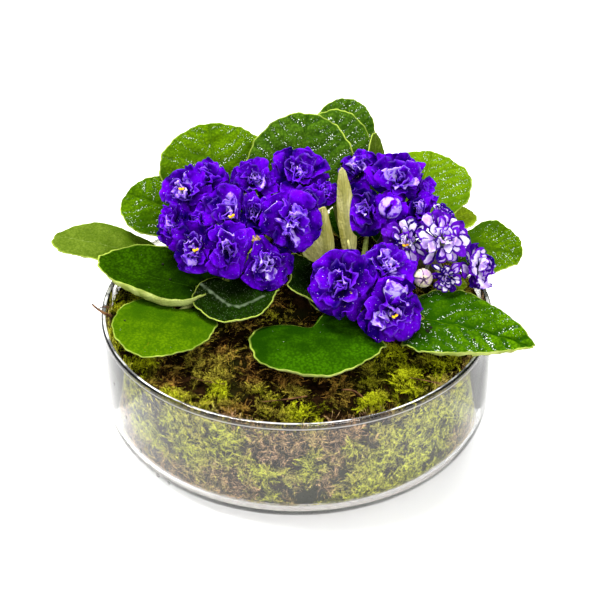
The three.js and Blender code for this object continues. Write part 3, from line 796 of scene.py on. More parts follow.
# %% Make a blade
def blade(bm, columns, rows, thickness, rule, taper=0.0):
    """Lays a disc out by a rule; taper is how much thinner its edge is."""
    layer = layer_of(bm)
    halves = {}
    made = bmesh.ops.create_grid(bm, x_segments=columns, y_segments=rows, size=1)
    verts = made["verts"]
    for vert in verts:
        x, y = vert.co.x, vert.co.y
        px, py = x * math.sqrt(1 - y * y / 2), y * math.sqrt(1 - x * x / 2)
        r = min(1.0, math.hypot(px, py))
        vert.co, marks = rule(r, math.atan2(py, px))
        vert[layer] = (*marks, 1)[:4]
        halves[vert] = 0.5 * thickness * (1 - taper * r ** 6)
    faces = list({face for vert in verts for face in vert.link_faces})
    for face in faces:
        face.normal_update()
    for vert in verts:
        vert.normal_update()
    half = {vert.co.copy().freeze(): vert.normal * halves[vert] for vert in verts}
    shell = bmesh.ops.extrude_face_region(bm, geom=faces, use_keep_orig=True)
    under = [item for item in shell["geom"] if isinstance(item, bmesh.types.BMVert)]
    for vert in under:
        vert.co -= half[vert.co.copy().freeze()]
    for vert in verts:
        vert.co += half[vert.co.copy().freeze()]
    return verts, under


print("blades can be made")


# %% Make a stem
def tube(bm, points, radii, sides=8, mark=(0, 0, 0)):
    """A closed round stem along a line of points."""
    layer = layer_of(bm)
    ways = [(b - a).normalized() for a, b in zip(points, points[1:])]
    ways.append(ways[-1])
    turn = ways[0].to_track_quat("Z", "Y")

    def ring_at(step):
        return Matrix.LocRotScale(points[step], turn, Vector((radii[step],) * 3))

    made = bmesh.ops.create_circle(bm, cap_ends=True, segments=sides, radius=1, matrix=ring_at(0))
    verts = made["verts"]
    everything = list(verts)
    edges = list(verts[0].link_faces[0].edges)
    for step in range(1, len(points)):
        before = ring_at(step - 1)
        turn = ways[step - 1].rotation_difference(ways[step]) @ turn
        after = ring_at(step)
        new = bmesh.ops.extrude_edge_only(bm, edges=edges)["geom"]
        verts = [item for item in new if isinstance(item, bmesh.types.BMVert)]
        edges = [item for item in new if isinstance(item, bmesh.types.BMEdge)
                 and all(vert in verts for vert in item.verts)]
        bmesh.ops.transform(bm, matrix=after @ before.inverted(), verts=verts)
        everything += verts
    bmesh.ops.contextual_create(bm, geom=edges)
    for vert in everything:
        vert[layer] = (*mark, 1)


def curve_points(start, bend, end, steps):
    """Points along a curve that leaves start towards bend and ends at end."""
    shares = [k / steps for k in range(steps + 1)]
    return [start.lerp(bend, share).lerp(bend.lerp(end, share), share) for share in shares]


print("stems can be made")


# %% Lay the twigs
bm = bmesh.new()
for start, bend, end, thick in TWIGS:
    points = curve_points(Vector(start), Vector(bend), Vector(end), 7)
    tube(bm, points, [thick * (0.5 + 0.06 * k) for k in range(8)], 6)
deliver("twigs", bm, dry)

# %% [markdown]
# ## Leaf finishes
# A violet's leaf is fleshy and covered with short hairs. Its upper side is a deep green, darker near the
# plant's middle, partly its own colour and partly painted shade under the flowers, and yellower towards
# the tip, with a pale line at the edge, and its underside is pale and matt. Red in marks is how near the
# edge a point is, green is 1 along the veins, and alpha runs from the leaf's joint to its tip. Blue is 1
# on the underside, and on the upper side it rises to 0.5 where the swollen skin between two veins faces
# the light. Shade is painted in the valleys along the veins and on the sides of the pads that turn from
# the light, and on the wet leaves the glitter of the lit pads is painted as rows of tiny pale cells. A
# coat over the whole leaf would turn it grey, so a clear coat lies only in spots among them. The pebbled
# skin is a bump made of small cells, with painted shade in their hollows and painted highlights in the
# middles of smaller ones.

# %% Mix the greens
# near the middle (partly the leaf's own colour, partly painted shade under the flowers), towards the tip,
# veins, and how wet, which also sets the painted shade of the quilting and the painted glints
GREENS = {
    "grey": ("3a500a", "5a6e1e", "8a9a50", 0.1),
    "deep": ("0c2001", "2a4c01", "34560a", 0.15),
    "shade": ("060f01", "142a03", "76866a", 0.0),
    "wet": ("1c4002", "568204", "567c04", 0.95),
    "light": ("2a4604", "567604", "527012", 0.6),
    "spotted": ("2a4a02", "4c6c03", "5c7a10", 0.15),
    "mid": ("123001", "305a02", "3a600a", 0.15),
    "mid_back": ("1c3606", "486a14", "3e5c14", 0.85),
    "fresh": ("223e02", "4c6e04", "5a7612", 0.6),
    "bright": ("446406", "688608", "7c9424", 0.6),
    "yellow": ("5c760a", "84981a", "a6b644", 0.2),
    "pale": ("c0a850", "e6d888", "eee6b8", 0.0),
}
print(len(GREENS), "greens")


# %% Build the leaf finishes
def leaf_finish(name, dark, light, vein, wet):
    finish, tree, shader = new_finish("leaf_" + name, Roughness=0.5, Specular_IOR_Level=0.0,
                                      Coat_Roughness=0.12)
    edge, veins, side, outward = marks_of(tree)
    under, lit = ease(tree, side, 0.6, 0.9), ease(tree, side, 0.08, 0.4)
    cells = pebbles(tree, 1.6)
    patches = ease(tree, grain(tree, 9, 3), 0.35, 0.68, -0.35, 0.35)
    # darker near the plant's middle: partly the leaf's own colour, partly painted shade under the flowers
    share = reckon(tree, "ADD", patches, ease(tree, outward, 0.0, 0.9))
    share.node.use_clamp = True
    # painted shade in the hollows of the small cells, and painted highlights in the middles of smaller ones
    tone = layers(tree, blend(tree, share, paint(dark), paint(light)),
                  (ease(tree, cells, 0.3, 0.7, 0.0, 0.6), dark),
                  (ease(tree, pebbles(tree, 1.1), 0.1, 0.25, 0.35, 0.0), vein))
    # painted shade in the valleys along the veins, strongest on wet leaves
    painted_valley_shade = times(tree, ease(tree, veins, 0.15, 0.6, 0.0, 0.2 + 0.8 * wet),
                   ease(tree, grain(tree, 14), 0.35, 0.55, 0.3, 1.0))
    low, high = (0.5, 1.5) if name == "shade" else (0.88, 1.0)
    # painted shade on the sides of the pads that turn from the light, then the pale veins
    tone = layers(tree, tone, (painted_valley_shade, dark), (ease(tree, lit, 0.0, 0.5, 0.3 * wet, 0.0), dark),
                  (ease(tree, veins, low, high, 0.0, 0.45), vein))
    # painted glints: tiny pale cells on the lit pads of wet leaves
    painted_glints = ease(tree, pebbles(tree, 1.15), 0.22, 0.34, 1.0, 0.0)
    patch = times(tree, ease(tree, lit, 0.1, 0.8, 0.0, 1.0), ease(tree, grain(tree, 7, 3), 0.42, 0.56))
    patch = times(tree, times(tree, patch, ease(tree, edge, 0.8, 0.95, 1.0, 0.2)), max(0.0, 1.2 * wet - 0.2))
    tone = layers(tree, tone, (times(tree, painted_glints, patch), "f4fff0"))
    if name == "spotted":
        spots = times(tree, ease(tree, grain(tree, 4, 2), 0.58, 0.64), ease(tree, veins, 0.3, 0.7))
        tone = layers(tree, tone, (times(tree, spots, ease(tree, outward, 0.5, 0.7)), "b48a18"))
    rim = times(tree, ease(tree, edge, 0.965, 0.995, 0.0, 0.95),
                ease(tree, grain(tree, 12), 0.4, 0.6, 0.4, 1.0))
    tone = layers(tree, tone, (rim, "a2b648"))
    pale = mottle(tree, 9, 3, 0.35, 0.65,
                  *(("b4b05c", "d8d48c") if name == "pale" else ("7c8a3c", "a4ae64")))
    pale = layers(tree, pale, (ease(tree, veins, 0.2, 1.0, 0.0, 0.6), "7c7c40"))
    give_colour(tree, shader, blend(tree, under, tone, pale))
    shine = times(tree, patch, ease(tree, grain(tree, 1.8, 3), 0.56, 0.64, 0.0, 0.35))
    tree.links.new(shine, shader.inputs["Coat Weight"])
    emboss(tree, shader, cells, 0.45)
    return finish


# water beads made partly white, so that they show as bright points: the white is a painted sparkle
dew_with_painted_sparkle, _, _ = new_finish("dew", Base_Color=(0.97, 1, 0.96, 1), Roughness=0.05, IOR=1.33,
                              Transmission_Weight=0.35)
LEAF_FINISHES = {name: leaf_finish(name, *tones) for name, tones in GREENS.items()}
print("leaf finishes:", list(LEAF_FINISHES))

# %% [markdown]
# ## Leaves
# The rule of a leaf's blade is that of its solid: a heart-shaped outline, an arch along the midrib, a cup
# across it and waves at the edge. Fine relief is added to that. Side veins leave the midrib and run
# forward to the edge, and the skin between them swells into pads, which is the quilting that catches the
# light. The edge that faces the viewer is rolled up a little, so that its pale underside shows. Short
# hairs stand round the edge, and the stalk is a tube that runs down to the plant's crown.

# %% Lay a leaf out
# how far a leaf's rear edge is raised, in mm, and how far its two lobes reach back beside the notch, as a
# share of its length
REAR = {"left": 4.5}
LOBES = {"front": 0.22, "front_left": 0.08}


def leaf_rule(name):
    """The rule that lays a leaf's disc out in space, and the way that the leaf points and faces."""
    _, _, joint, tip, width, face, (arch, cup, wave, fold, pointed), (relief, green, lip, _) = LEAVES[name]
    joint = Vector(joint)
    along = Vector(tip) - joint
    length = along.length
    along.normalize()
    up = Vector(face)
    up = (up - along * up.dot(along)).normalized()
    across = up.cross(along)
    half, fold = width / 2, math.radians(fold)
    seed = sum(map(ord, name)) % 50

    def rule(r, a):
        # the outline: notch, lobes and ragged edge, and how much of the edge is turned up or raised here
        reach = 0.54 if math.cos(a) > 0 else 0.58
        around = math.pi - abs(a)
        lobe = LOBES.get(name, 0)
        notch = (0.2 + 0.2 * lobe) * math.exp(-((around / 0.22) ** 2))
        notch -= lobe * math.exp(-(((around - 0.72) / 0.5) ** 2))
        ragged = 1 + 0.012 * r ** 4 * (math.sin(13 * a + seed) + 0.6 * math.sin(29 * a + 2 * seed))
        front = max(0.0, -along.y * math.cos(a) - across.y * math.sin(a))
        turned = front * max(0.0, (r - 0.84) / 0.16) ** 2
        rear = max(0.0, along.y * math.cos(a) + across.y * math.sin(a)) * r * r
        out = r * ragged - (0.02 + 0.015 * lip) * turned
        share = 0.46 + out * reach * math.cos(a) + notch * r * r
        y = out * half * math.sin(a) * (1 - pointed * math.cos(a))
        # the veins, and the pads and small cells between them
        t = abs(y) / half
        vein = share * 6 - 3 * t + 0.15 * math.sin(9 * t + seed) + (0.25 if y > 0 else 0)
        pad = abs(math.sin(math.pi * vein)) ** 0.7
        cell = abs(math.sin(math.pi * (4 * share + 2 * t + 0.5 * math.floor(vein)))) ** 0.5
        rib = math.exp(-((y / (1.0 + 1.2 * (1 - share))) ** 2))
        swell = pad * (0.62 + 0.38 * cell) * (1 - rib)
        # the height: arch, cup, fold and wave of the whole leaf, its edges, and the fine relief
        flat = Vector((share * length, y, seed))
        inner = relief * (1 - r ** 8)
        height = arch * 4 * share * (1 - share) * length + cup * (y / half) ** 2 * half
        height += abs(y) * math.sin(fold) + wave * r ** 3 * math.sin(5 * a + width) * half
        height += lip * turned + REAR.get(name, 0) * rear
        height += inner * (swell - 0.45 + 0.5 * noise.noise(flat / 9))
        height += 0.3 * relief * noise.noise(flat / 2.6)
        point = joint + along * share * length + across * y * math.cos(fold) + up * height
        if name == "upright_short":
            point.x -= 7 * (1 - share) ** 2 * max(0.0, 1 - y / half) / 2
        veins = max(rib, (1 - pad ** 1.4) ** 1.2 * (1 - 0.3 * t))
        if green in ("shade", "spotted", "mid"):
            veins *= 0.4
        if name == "under_left":
            veins += pale_crease(point)
        # where a pad faces the light; the finish paints glints there and shade away from it
        lit = 0.5 * max(0.0, math.sin(2 * math.pi * vein + 1.2)) ** 0.6 * (1 - rib)
        return keep_off_flowers(point), (r, veins, lit, min(1.0, max(0.0, share)))

    return rule, along, up, length


def pale_crease(point):
    """High along the downy crease that crosses the leaf under the left flowers."""
    crease = [Vector((x, y, 0)) for x, y in ((-63, 2), (-50, -13), (-41, -23), (-34, -25), (-20, -19))]
    flat = Vector((point.x, point.y, 0))
    gaps = []
    for start, end in zip(crease, crease[1:]):
        share = min(1.0, max(0.0, (flat - start).dot(end - start) / (end - start).length_squared))
        gaps.append((start.lerp(end, share) - flat).length)
    return 1.3 * math.exp(-((min(gaps) / 1.4) ** 2)) * (0.85 + 0.5 * noise.noise(point / 4))


print("raised rear edges:", REAR, "lobes:", LOBES)


# %% Make the leaves
def surface_way(rule, r, a, up):
    """The way that a blade's upper side looks at a point."""
    here = rule(r, a)[0]
    way = (rule(r + 0.02, a)[0] - here).cross(rule(r, a + 0.05)[0] - here)
    return way.normalized() if way.dot(up) > 0 else -way.normalized()


def bead(bm, place, way, size):
    """A small flattened water bead."""
    turn = way.to_track_quat("Z", "Y")
    bmesh.ops.create_icosphere(bm, subdivisions=1, radius=1,
                               matrix=Matrix.LocRotScale(place, turn, Vector((size, size, 0.7 * size))))


def make_leaf(name, dew):
    """One leaf with its hairs and stalk, and its water beads in the mesh called dew."""
    crown, level, joint, _, width, _, _, (_, green, _, drops) = LEAVES[name]
    rule, along, up, length = leaf_rule(name)
    chance = random.Random(name)
    bm = bmesh.new()
    _, under = blade(bm, 46, 40, 1.4, rule, 0.5)
    layer = layer_of(bm)
    for vert in under:
        vert[layer] = (vert[layer][0], vert[layer][1], 1, vert[layer][3])
    hairs = int(3.2 * width)
    for k in range(hairs):
        a = 2 * math.pi * (k + chance.random()) / hairs - math.pi
        if abs(a) < 2.95:
            root = rule(0.985, a)[0]
            out = (root - rule(0.9, a)[0]).normalized() + up * chance.uniform(-0.3, 0.6)
            for vert in spike(bm, root, root + out * chance.uniform(0.5, 1.4), 0.06):
                vert[layer] = (1, 0, 1, 1)
    root = Vector((*CROWNS[crown], level))
    end = rule(0.6, math.pi)[0] - up * 1.5
    bend = (Vector(joint) - along * 0.12 * length).lerp(root, 0.25) - Vector((0, 0, 3))
    radius = 2.1 * math.sqrt(width / 60)
    side = 0 if name in ("under_left", "front") else 1
    radii = [radius * (1.05 - 0.5 * (k / 9) ** 3) for k in range(10)]
    tube(bm, curve_points(root, bend, end, 9), radii, 8, (0, 0, side))
    deliver("violet_leaf_" + name, bm, LEAF_FINISHES[green],
            ["leaf_" + name])
    while drops > 0:
        r, a = 0.94 * math.sqrt(chance.random()), chance.uniform(-math.pi, math.pi)
        place, (_, veins, _, _) = rule(r, a)
        if veins < 0.25 and noise.noise(place / 9) + chance.uniform(-0.12, 0.12) > 0.08:
            way = surface_way(rule, r, a, up)
            bead(dew, place + way * 0.6, way, 0.1 + 0.16 * chance.random() ** 3)
            drops -= 1


dew = bmesh.new()
for name in LEAVES:
    make_leaf(name, dew)
deliver("dew_on_leaves", dew, dew_with_painted_sparkle)

# %% [markdown]
# ## Petal finishes
# The petals are velvety. The violet ones are a deep blue-violet with tiny painted glints of the velvet
# and painted shade deep at the root, some with a painted highlight along the edge, and the small curled
# petals in the middle of the flower are washed with lavender and white. The other plant's petals are
# white in the middle with a broad violet edge and painted shade at the root. Red in marks runs from a
# petal's root to its tip, green is how near the edge a point is, and blue is how pale the petal is.
# Alpha is how bright the painted highlight on a violet petal's edge is, or how far the white reaches on
# a white one.

# %% Mix the petal colours
def petal_finish(name, mixed):
    finish, tree, shader = new_finish(name, Roughness=0.5, Specular_IOR_Level=0.0)
    along, edge, pale, reach_or_rim_highlight = marks_of(tree)
    streaks = grain(tree, 3.5, 3)
    dark, light = ("1e0660", "6216b8") if mixed else ("120054", "6004cc")
    # darker velvet mottling, painted shade deep at the root, and tiny painted glints of the velvet
    violet = layers(tree, mottle(tree, 9, 4, 0.36, 0.62, dark, light),
                    (ease(tree, grain(tree, 1.1, 3), 0.46, 0.62, 0.0, 0.3), "24007c"),
                    (ease(tree, along, 0.1, 0.75, 0.95, 0.0), "060026"),
                    (ease(tree, pebbles(tree, 1.7), 0.09, 0.13, 0.6, 0.0), "a084f8"))
    if mixed:
        reach = reckon(tree, "SUBTRACT", reckon(tree, "ADD", edge, streaks), reach_or_rim_highlight)
        tone = mottle(tree, 5, 3, 0.42, 0.62, "ece2fa", "b490e0")
        tone = blend(tree, ease(tree, reach, 0.7, 0.84), tone, violet)
        # painted shade at the root
        tone = layers(tree, tone, (ease(tree, along, 0.05, 0.35, 0.7, 0.0), "341a78"))
    else:
        wash = times(tree, pale, ease(tree, grain(tree, 3, 3), 0.36, 0.58, 0.1, 1.0))
        # a painted highlight along the lit edge of the petal
        lip = times(tree, ease(tree, edge, 0.78, 1.0), ease(tree, streaks, 0.35, 0.65, 0.2, 1.0))
        tone = layers(tree, violet, (ease(tree, wash, 0.0, 0.45), "7a42dc"),
                      (ease(tree, wash, 0.4, 0.8), "ba9cec"), (ease(tree, wash, 0.9, 1.2), "e8dcfb"),
                      (times(tree, lip, reach_or_rim_highlight), "a070ee"))
    give_colour(tree, shader, tone)
    emboss(tree, shader, grain(tree, 1.8, 4), 0.5, 0.8)
    return finish


violet_petal = petal_finish("petal_violet", False)
mixed_petal = petal_finish("petal_white_and_violet", True)
pollen, _, _ = mottled_finish("pollen", (1, 2, 0.4, 0.6, "f0a808", "ffd81e"), Roughness=0.6,
                              Specular_IOR_Level=0.2)
print("petal finishes:", violet_petal.name, mixed_petal.name, pollen.name)

# %% [markdown]
# ## Double flowers
# A double flower has rings of petals: a flat outer ring of five broad ones, more that rise inside it, and
# a few curled ones in the middle, pale on their backs. Most white flowers are rosettes of many small
# hollow petals, and one violet flower is still a closed globe. Each petal is a blade whose edge is
# ruffled by a wave. Chance makes each one a little longer, shorter, higher or lower, and then every point
# is drawn in so that the flower stays in its own ball. Some flowers show two yellow anthers, and some
# carry water beads.

# %% The rings of petals
# petals, turn, root, base, length, width, lowest angle, highest angle, cup, twist, ruffle, how pale, and how
# pale on the back; lengths are shares of the flower's radius
RINGS = [
    (5, 18, 0.06, -0.12, 1.15, 1.40, -36, -12, -0.15, 0.15, 0.16, 0.0, 0.0),
    (5, 0, 0.04, -0.04, 1.30, 1.50, -10, 12, -0.10, 0.20, 0.20, 0.0, 0.0),
    (5, 36, 0.05, 0.00, 1.08, 1.25, 8, 28, -0.06, 0.30, 0.26, 0.02, 0.05),
    (5, 8, 0.05, 0.04, 0.82, 0.92, 26, 48, 0.05, 0.40, 0.34, 0.12, 0.2),
    (5, 40, 0.05, 0.08, 0.62, 0.66, 44, 72, 0.20, 0.55, 0.32, 0.25, 0.4),
    (3, 10, 0.02, 0.10, 0.44, 0.52, 60, 100, 0.30, 0.60, 0.30, 0.35, 0.5),
]
MIXED_RINGS = [
    (8, 18, 0.30, -0.15, 0.85, 0.66, 0, -40, 0.20, 0.20, 0.15, 0, 0),
    (8, 0, 0.30, 0.00, 0.78, 0.62, 30, -20, 0.25, 0.25, 0.18, 0, 0),
    (7, 20, 0.26, 0.14, 0.68, 0.60, 55, 0, 0.30, 0.30, 0.20, 0, 0),
    (6, 5, 0.20, 0.26, 0.56, 0.54, 70, 25, 0.35, 0.40, 0.22, 0, 0),
    (5, 30, 0.12, 0.36, 0.46, 0.48, 80, 50, 0.40, 0.50, 0.22, 0, 0),
    (3, 0, 0.03, 0.44, 0.34, 0.40, 85, 80, 0.40, 0.60, 0.22, 0, 0),
]
# how bright the painted highlight on the petals' edges is, ring by ring; how often a flower's petals are
# pale; the flowers made of small hollow petals; how far the white reaches; how many water beads; and
# where anthers show
EDGE_HIGHLIGHTS = (0, 0.02, 0.1, 0.3, 0.5, 0.6)
PALE = {"left_a": 2.4, "left_b": 1.9, "left_d": 2.3, "left_j": 1.4, "left_k": 1.4, "left_c": 1.3,
        "left_h": 0.6, "left_f": 0.7, "left_g": 0.8, "right_a": 1.2, "right_b": 1.6, "right_f": 2.6,
        "front_a": 0.8, "front_b": 2.2, "front_c": 0.8}
ROSETTES = ("mixed_a", "mixed_b", "mixed_d", "mixed_e")
WHITE = {"mixed_a": 0.5, "mixed_b": 0.48, "mixed_c": 0.42, "mixed_d": 0.35, "mixed_e": 0.36}
DEWY = {"left_a": 16, "left_c": 14, "left_d": 30, "left_e": 12, "left_j": 8, "left_k": 44, "front_a": 46,
        "front_b": 14, "front_c": 54}
ANTHERS = {"left_a": (0.1, 0.1), "left_b": (0.1, -0.15), "left_d": (0.2, 0), "mixed_b": (0.05, -0.2),
           "front_c": (0, 0)}
print("petals of a flower:", sum(ring[0] for ring in RINGS), "and", sum(ring[0] for ring in MIXED_RINGS))


# %% Lay a petal out
def flower_ways(name):
    """The way that a flower faces, and two ways across it."""
    axis = Vector(BLOOMS[name][2]).normalized()
    side = Vector((0, 0, 1)).cross(axis).normalized()
    return axis, side, axis.cross(side)


def rings_of(name):
    return MIXED_RINGS if name in ROSETTES else RINGS[:2] if name == "right_d" else RINGS


def petal_rule(name, ring, k, chance, neighbours):
    """The rule that lays petal number k of a ring out; what is left to chance is drawn before it."""
    _, at, _, size, open_share, turn = BLOOMS[name]
    mixed = name in WHITE
    ring_plan = rings_of(name)[ring]
    count, ring_turn, root, base, length, width, low, high, cup, twist, ruffle, pale, _ = ring_plan
    axis, side, top = flower_ways(name)
    give = chance.uniform(-0.6, 1.4)
    borders = [(way, border + give) for way, border in neighbours]
    angle = math.radians(turn + ring_turn + 360 * k / count + chance.uniform(-14, 14))
    out = side * math.cos(angle) + top * math.sin(angle)
    across = axis.cross(out)
    closed = 1 - open_share
    lift = chance.uniform(-11, 11)
    low, high = math.radians(low + 30 * closed + lift), math.radians(high + 42 * closed + lift)
    length *= chance.uniform(0.84, 1.1)
    width *= chance.uniform(0.85, 1.15)
    twist *= chance.choice((-1, 1)) * chance.uniform(0.5, 1.6)
    phase, waves = chance.uniform(0, 6.283), chance.choice((3, 4, 5, 6))
    pale = chance.uniform(0.6, 1.2) if chance.random() < pale * PALE.get(name, 0.4) else 0.0
    if mixed:
        last = WHITE[name] + 0.06 * (ring - 2) + chance.uniform(-0.25, 0.2)
        last -= 0.35 if name == "mixed_b" and out.x < -0.2 and ring < 3 else 0
    else:
        # how bright the painted highlight on this petal's edge is
        last = EDGE_HIGHLIGHTS[ring] * chance.uniform(0.2, 1.0)

    def rule(r, a):
        share = 0.5 * (1 + r * math.cos(a))
        rise = low + (high - low) * share / 2
        half = 0.5 * width * size * (0.02 + 0.98 * share ** 0.9)
        y = r * math.sin(a)
        normal = axis * math.cos(rise) - out * math.sin(rise)
        point = Vector(at) + out * size * (root + length * share * math.cos(rise))
        point += axis * size * (base + length * share * math.sin(rise)) + across * y * half
        wave = ruffle * r ** 3 * share * (math.sin(waves * a + phase) + 0.5 * math.sin(10 * a + 2 * phase))
        point += normal * half * (cup * y * y + twist * y + wave)
        return keep_in_ball(point, name, borders), (share, r, pale, max(0.0, last))

    return rule


# %% Petals still folded into a ball
def closed_globe(bm, at, axis, side, top, radius, count):
    """Petals still folded over each other into a ball, in three layers."""
    for layer in range(3):
        for k in range(count - layer):
            blade(bm, 10, 10, 0.4, globe_rule(at, axis, side, top, radius, k, layer, count - layer))
    core = bmesh.ops.create_uvsphere(bm, u_segments=16, v_segments=10, radius=0.72 * radius,
                                     matrix=Matrix.Translation(at))
    for vert in core["verts"]:
        vert[layer_of(bm)] = (0.3, 1, 0, 0)


def globe_rule(at, axis, side, top, radius, k, layer, count):
    """A blade wrapped round a ball, from near its base to its top."""
    def rule(r, a):
        share = 0.5 * (1 + r * math.cos(a))
        down = math.radians(160 - 145 * share - 6 * layer)
        turn = 2 * math.pi * (k + 0.4 * layer) / count + r * math.sin(a) * 3.8 / count
        size = radius * (0.84 + 0.08 * layer + 0.05 * r * math.sin(a) + 0.03 * math.sin(5 * a + k))
        out = side * math.cos(turn) + top * math.sin(turn)
        point = at + (out * math.sin(down) + axis * math.cos(down)) * size
        return point, (0.4 + 0.6 * share, r, 0.75 * (r < 0.85), 0)

    return rule


# %% Make the flowers
def make_bloom(name, dew, anthers):
    """One flower, with its water beads in the mesh called dew and its anthers in theirs."""
    chance = random.Random(name)
    neighbours = neighbours_of(name)
    axis, side, top = flower_ways(name)
    _, at, _, size, _, _ = BLOOMS[name]
    bm = bmesh.new()
    layer = layer_of(bm)
    rules = []
    for ring, (count, *_, back) in enumerate(rings_of(name)):
        grid = 8 if ring > 2 or name in ROSETTES else 14
        for k in range(count):
            rule = petal_rule(name, ring, k, chance, neighbours)
            rules.append(rule)
            _, under = blade(bm, grid, grid, 0.5, rule)
            pale = chance.uniform(0.6, 1.2) if chance.random() < back * PALE.get(name, 0.4) else 0.0
            for vert in under:
                vert[layer] = (vert[layer][0], vert[layer][1], pale, vert[layer][3])
    if name == "right_d":
        closed_globe(bm, Vector(at) + axis * 0.3 * size, axis, side, top, 0.72 * size, 4)
    mixed = name in WHITE
    deliver("flower_" + name, bm, mixed_petal if mixed else violet_petal,
            ["bloom_" + name])
    for _ in range(DEWY.get(name, 0)):
        rule = chance.choice(rules[5:20])
        r, a = 0.9 * math.sqrt(chance.random()), chance.uniform(-2.2, 2.2)
        way = surface_way(rule, r, a, axis)
        bead(dew, rule(r, a)[0] + way * 0.25, way, chance.uniform(0.16, 0.36))
    if name in ANTHERS:
        u, v = ANTHERS[name]
        for hand in (-1, 1):
            place = Vector(at) + axis * 0.62 * size
            place += side * (u * size + hand * 0.9) + top * (v * size + 0.4 * hand)
            turn = Matrix.Translation(place) @ Matrix.Rotation(0.6 * hand, 4, axis)
            bmesh.ops.create_uvsphere(anthers, u_segments=10, v_segments=6, radius=1.0,
                                      matrix=turn @ Matrix.Diagonal((1.2, 0.9, 0.8, 1)))


dew = bmesh.new()
anthers = bmesh.new()
for name in BLOOMS:
    if name != "bud":
        make_bloom(name, dew, anthers)
deliver("dew_on_petals", dew, dew_with_painted_sparkle)
deliver("anthers", anthers, pollen)

# %% [markdown]
# ## Flower stalks
# Each group of flowers grows on one branching stalk, brownish and hairy, with five small pointed green
# sepals under every flower. The stalks are tubes along bent lines, and a sepal is a small blade, laid out
# by a rule of its own.

# %% The stalks' finish
stalk, tree, shader = mottled_finish("stalk", (7, 3, 0.4, 0.7, "1a0e20", "444a22"), Roughness=0.6,
                                     Sheen_Weight=0.3, Sheen_Roughness=0.4, Sheen_Tint=(0.9, 0.8, 0.8, 1))
emboss(tree, shader, grain(tree, 0.8), 0.2)
print("finish:", stalk.name)


# %% Lay the stalks and sepals
def sepal_rule(at, axis, out, size):
    """A pointed blade that cups the flower from below."""
    across = axis.cross(out)

    def rule(r, a):
        share = 0.5 * (1 + r * math.cos(a))
        width = size * 0.5 * (1.1 - share ** 2)
        point = at + out * size * (0.1 + 0.8 * share) + axis * size * 0.35 * share ** 2
        return point + across * r * math.sin(a) * width, (0, 0, 0)

    return rule


def make_stalks(name):
    crown, hub = STALKS[name]
    foot, fork = Vector((*CROWNS[crown], 84)), Vector(hub)
    sway = foot.lerp(fork, 0.5)
    sway.z = fork.z * 0.45 + foot.z * 0.55
    bm = bmesh.new()
    tube(bm, curve_points(foot, sway, fork, 8), [2.0 - 0.2 * k / 8 for k in range(9)], 8)
    for flower, (stem, at, _, radius, _, _) in BLOOMS.items():
        if stem != name:
            continue
        axis, side, top = flower_ways(flower)
        end = Vector(at) - axis * 0.1 * radius
        bend = (end - axis * 0.9 * radius).lerp(fork, 0.35)
        tube(bm, curve_points(fork, bend, end, 8), [1.25 - 0.25 * k / 8 for k in range(9)], 6)
        for k in range(5):
            turn = 2 * math.pi * k / 5
            out = side * math.cos(turn) + top * math.sin(turn)
            blade(bm, 4, 4, 0.5, sepal_rule(end - axis * 0.08 * radius, axis, out, 0.3 * radius))
    deliver("flower_stalks_" + name, bm, stalk, ["stalks_" + name])


for name in STALKS:
    make_stalks(name)

# %% [markdown]
# ## Small things between the flowers
# Among the flowers stand a few dark, ribbed calyxes that haven't opened. A petal here and there has
# withered to a tan crumb, and grains of soil lie on the leaves. A calyx is a ring of small blades round
# an axis, a crumb is a ball that noise has pushed out of shape, and a grain is a flattened ball set on
# the leaf's own surface.

# %% Closed calyxes
# place of each, and its size
CLOSED = [(-32, 37, 130, 5.5), (-13, 37, 129.5, 6.5), (-21, 31, 127, 5), (46, 8, 101, 4.5)]


def calyx_rule(at, axis, out, size):
    """A blade that bulges out and closes again at the top."""
    across = axis.cross(out)

    def rule(r, a):
        share = 0.5 * (1 + r * math.cos(a))
        bulge = size * (0.12 + 0.42 * math.sin(math.pi * share ** 0.8))
        point = at + out * bulge + axis * size * (1.3 * share - 0.4)
        return point + across * r * math.sin(a) * bulge * 0.8, (0, 0, 0)

    return rule


calyx, _, _ = mottled_finish("calyx", (1.6, 3, 0.4, 0.65, "150c20", "6a5c78"), Roughness=0.8,
                             Specular_IOR_Level=0.1)
bm = bmesh.new()
for x, y, z, size in CLOSED:
    axis = Vector((0.1, -0.5, 0.85)).normalized()
    for k in range(7):
        out = Matrix.Rotation(0.9 * k, 3, axis) @ axis.orthogonal().normalized()
        blade(bm, 5, 5, 0.5, calyx_rule(Vector((x, y, z)), axis, out, size * (1 - 0.05 * k)))
deliver("closed_calyxes", bm, calyx)

# %% Withered bits
# place of each, and its size
WITHERED = [(-24.4, 0, 123.5, 2.6), (32.5, -40, 110.5, 2.0), (29.7, -42, 102.7, 1.8)]

withered, _, _ = mottled_finish("withered", (1.6, 3, 0.35, 0.65, "4a3018", "b49468"), Roughness=0.9,
                                Specular_IOR_Level=0.1)
bm = bmesh.new()
for x, y, z, size in WITHERED:
    ball = bmesh.ops.create_icosphere(bm, subdivisions=3, radius=size, matrix=Matrix.Translation((x, y, z)))
    for vert in ball["verts"]:
        vert.co += (vert.co - Vector((x, y, z))) * 0.7 * noise.noise(vert.co / 0.9)
deliver("withered_bits", bm, withered)

# %% Specks of soil
# the leaf that each lies on, its x and y, and its size
SPECKS = [("right", 77.5, -47.7, 1.5), ("right", 79, -46.5, 1.1), ("right", 109.7, -52.5, 0.9),
          ("right", 104.1, -56.5, 0.8), ("front_left", -103, -34, 0.6), ("left", -82.6, 23, 0.9),
          ("left", -77.3, 9.7, 0.7)]

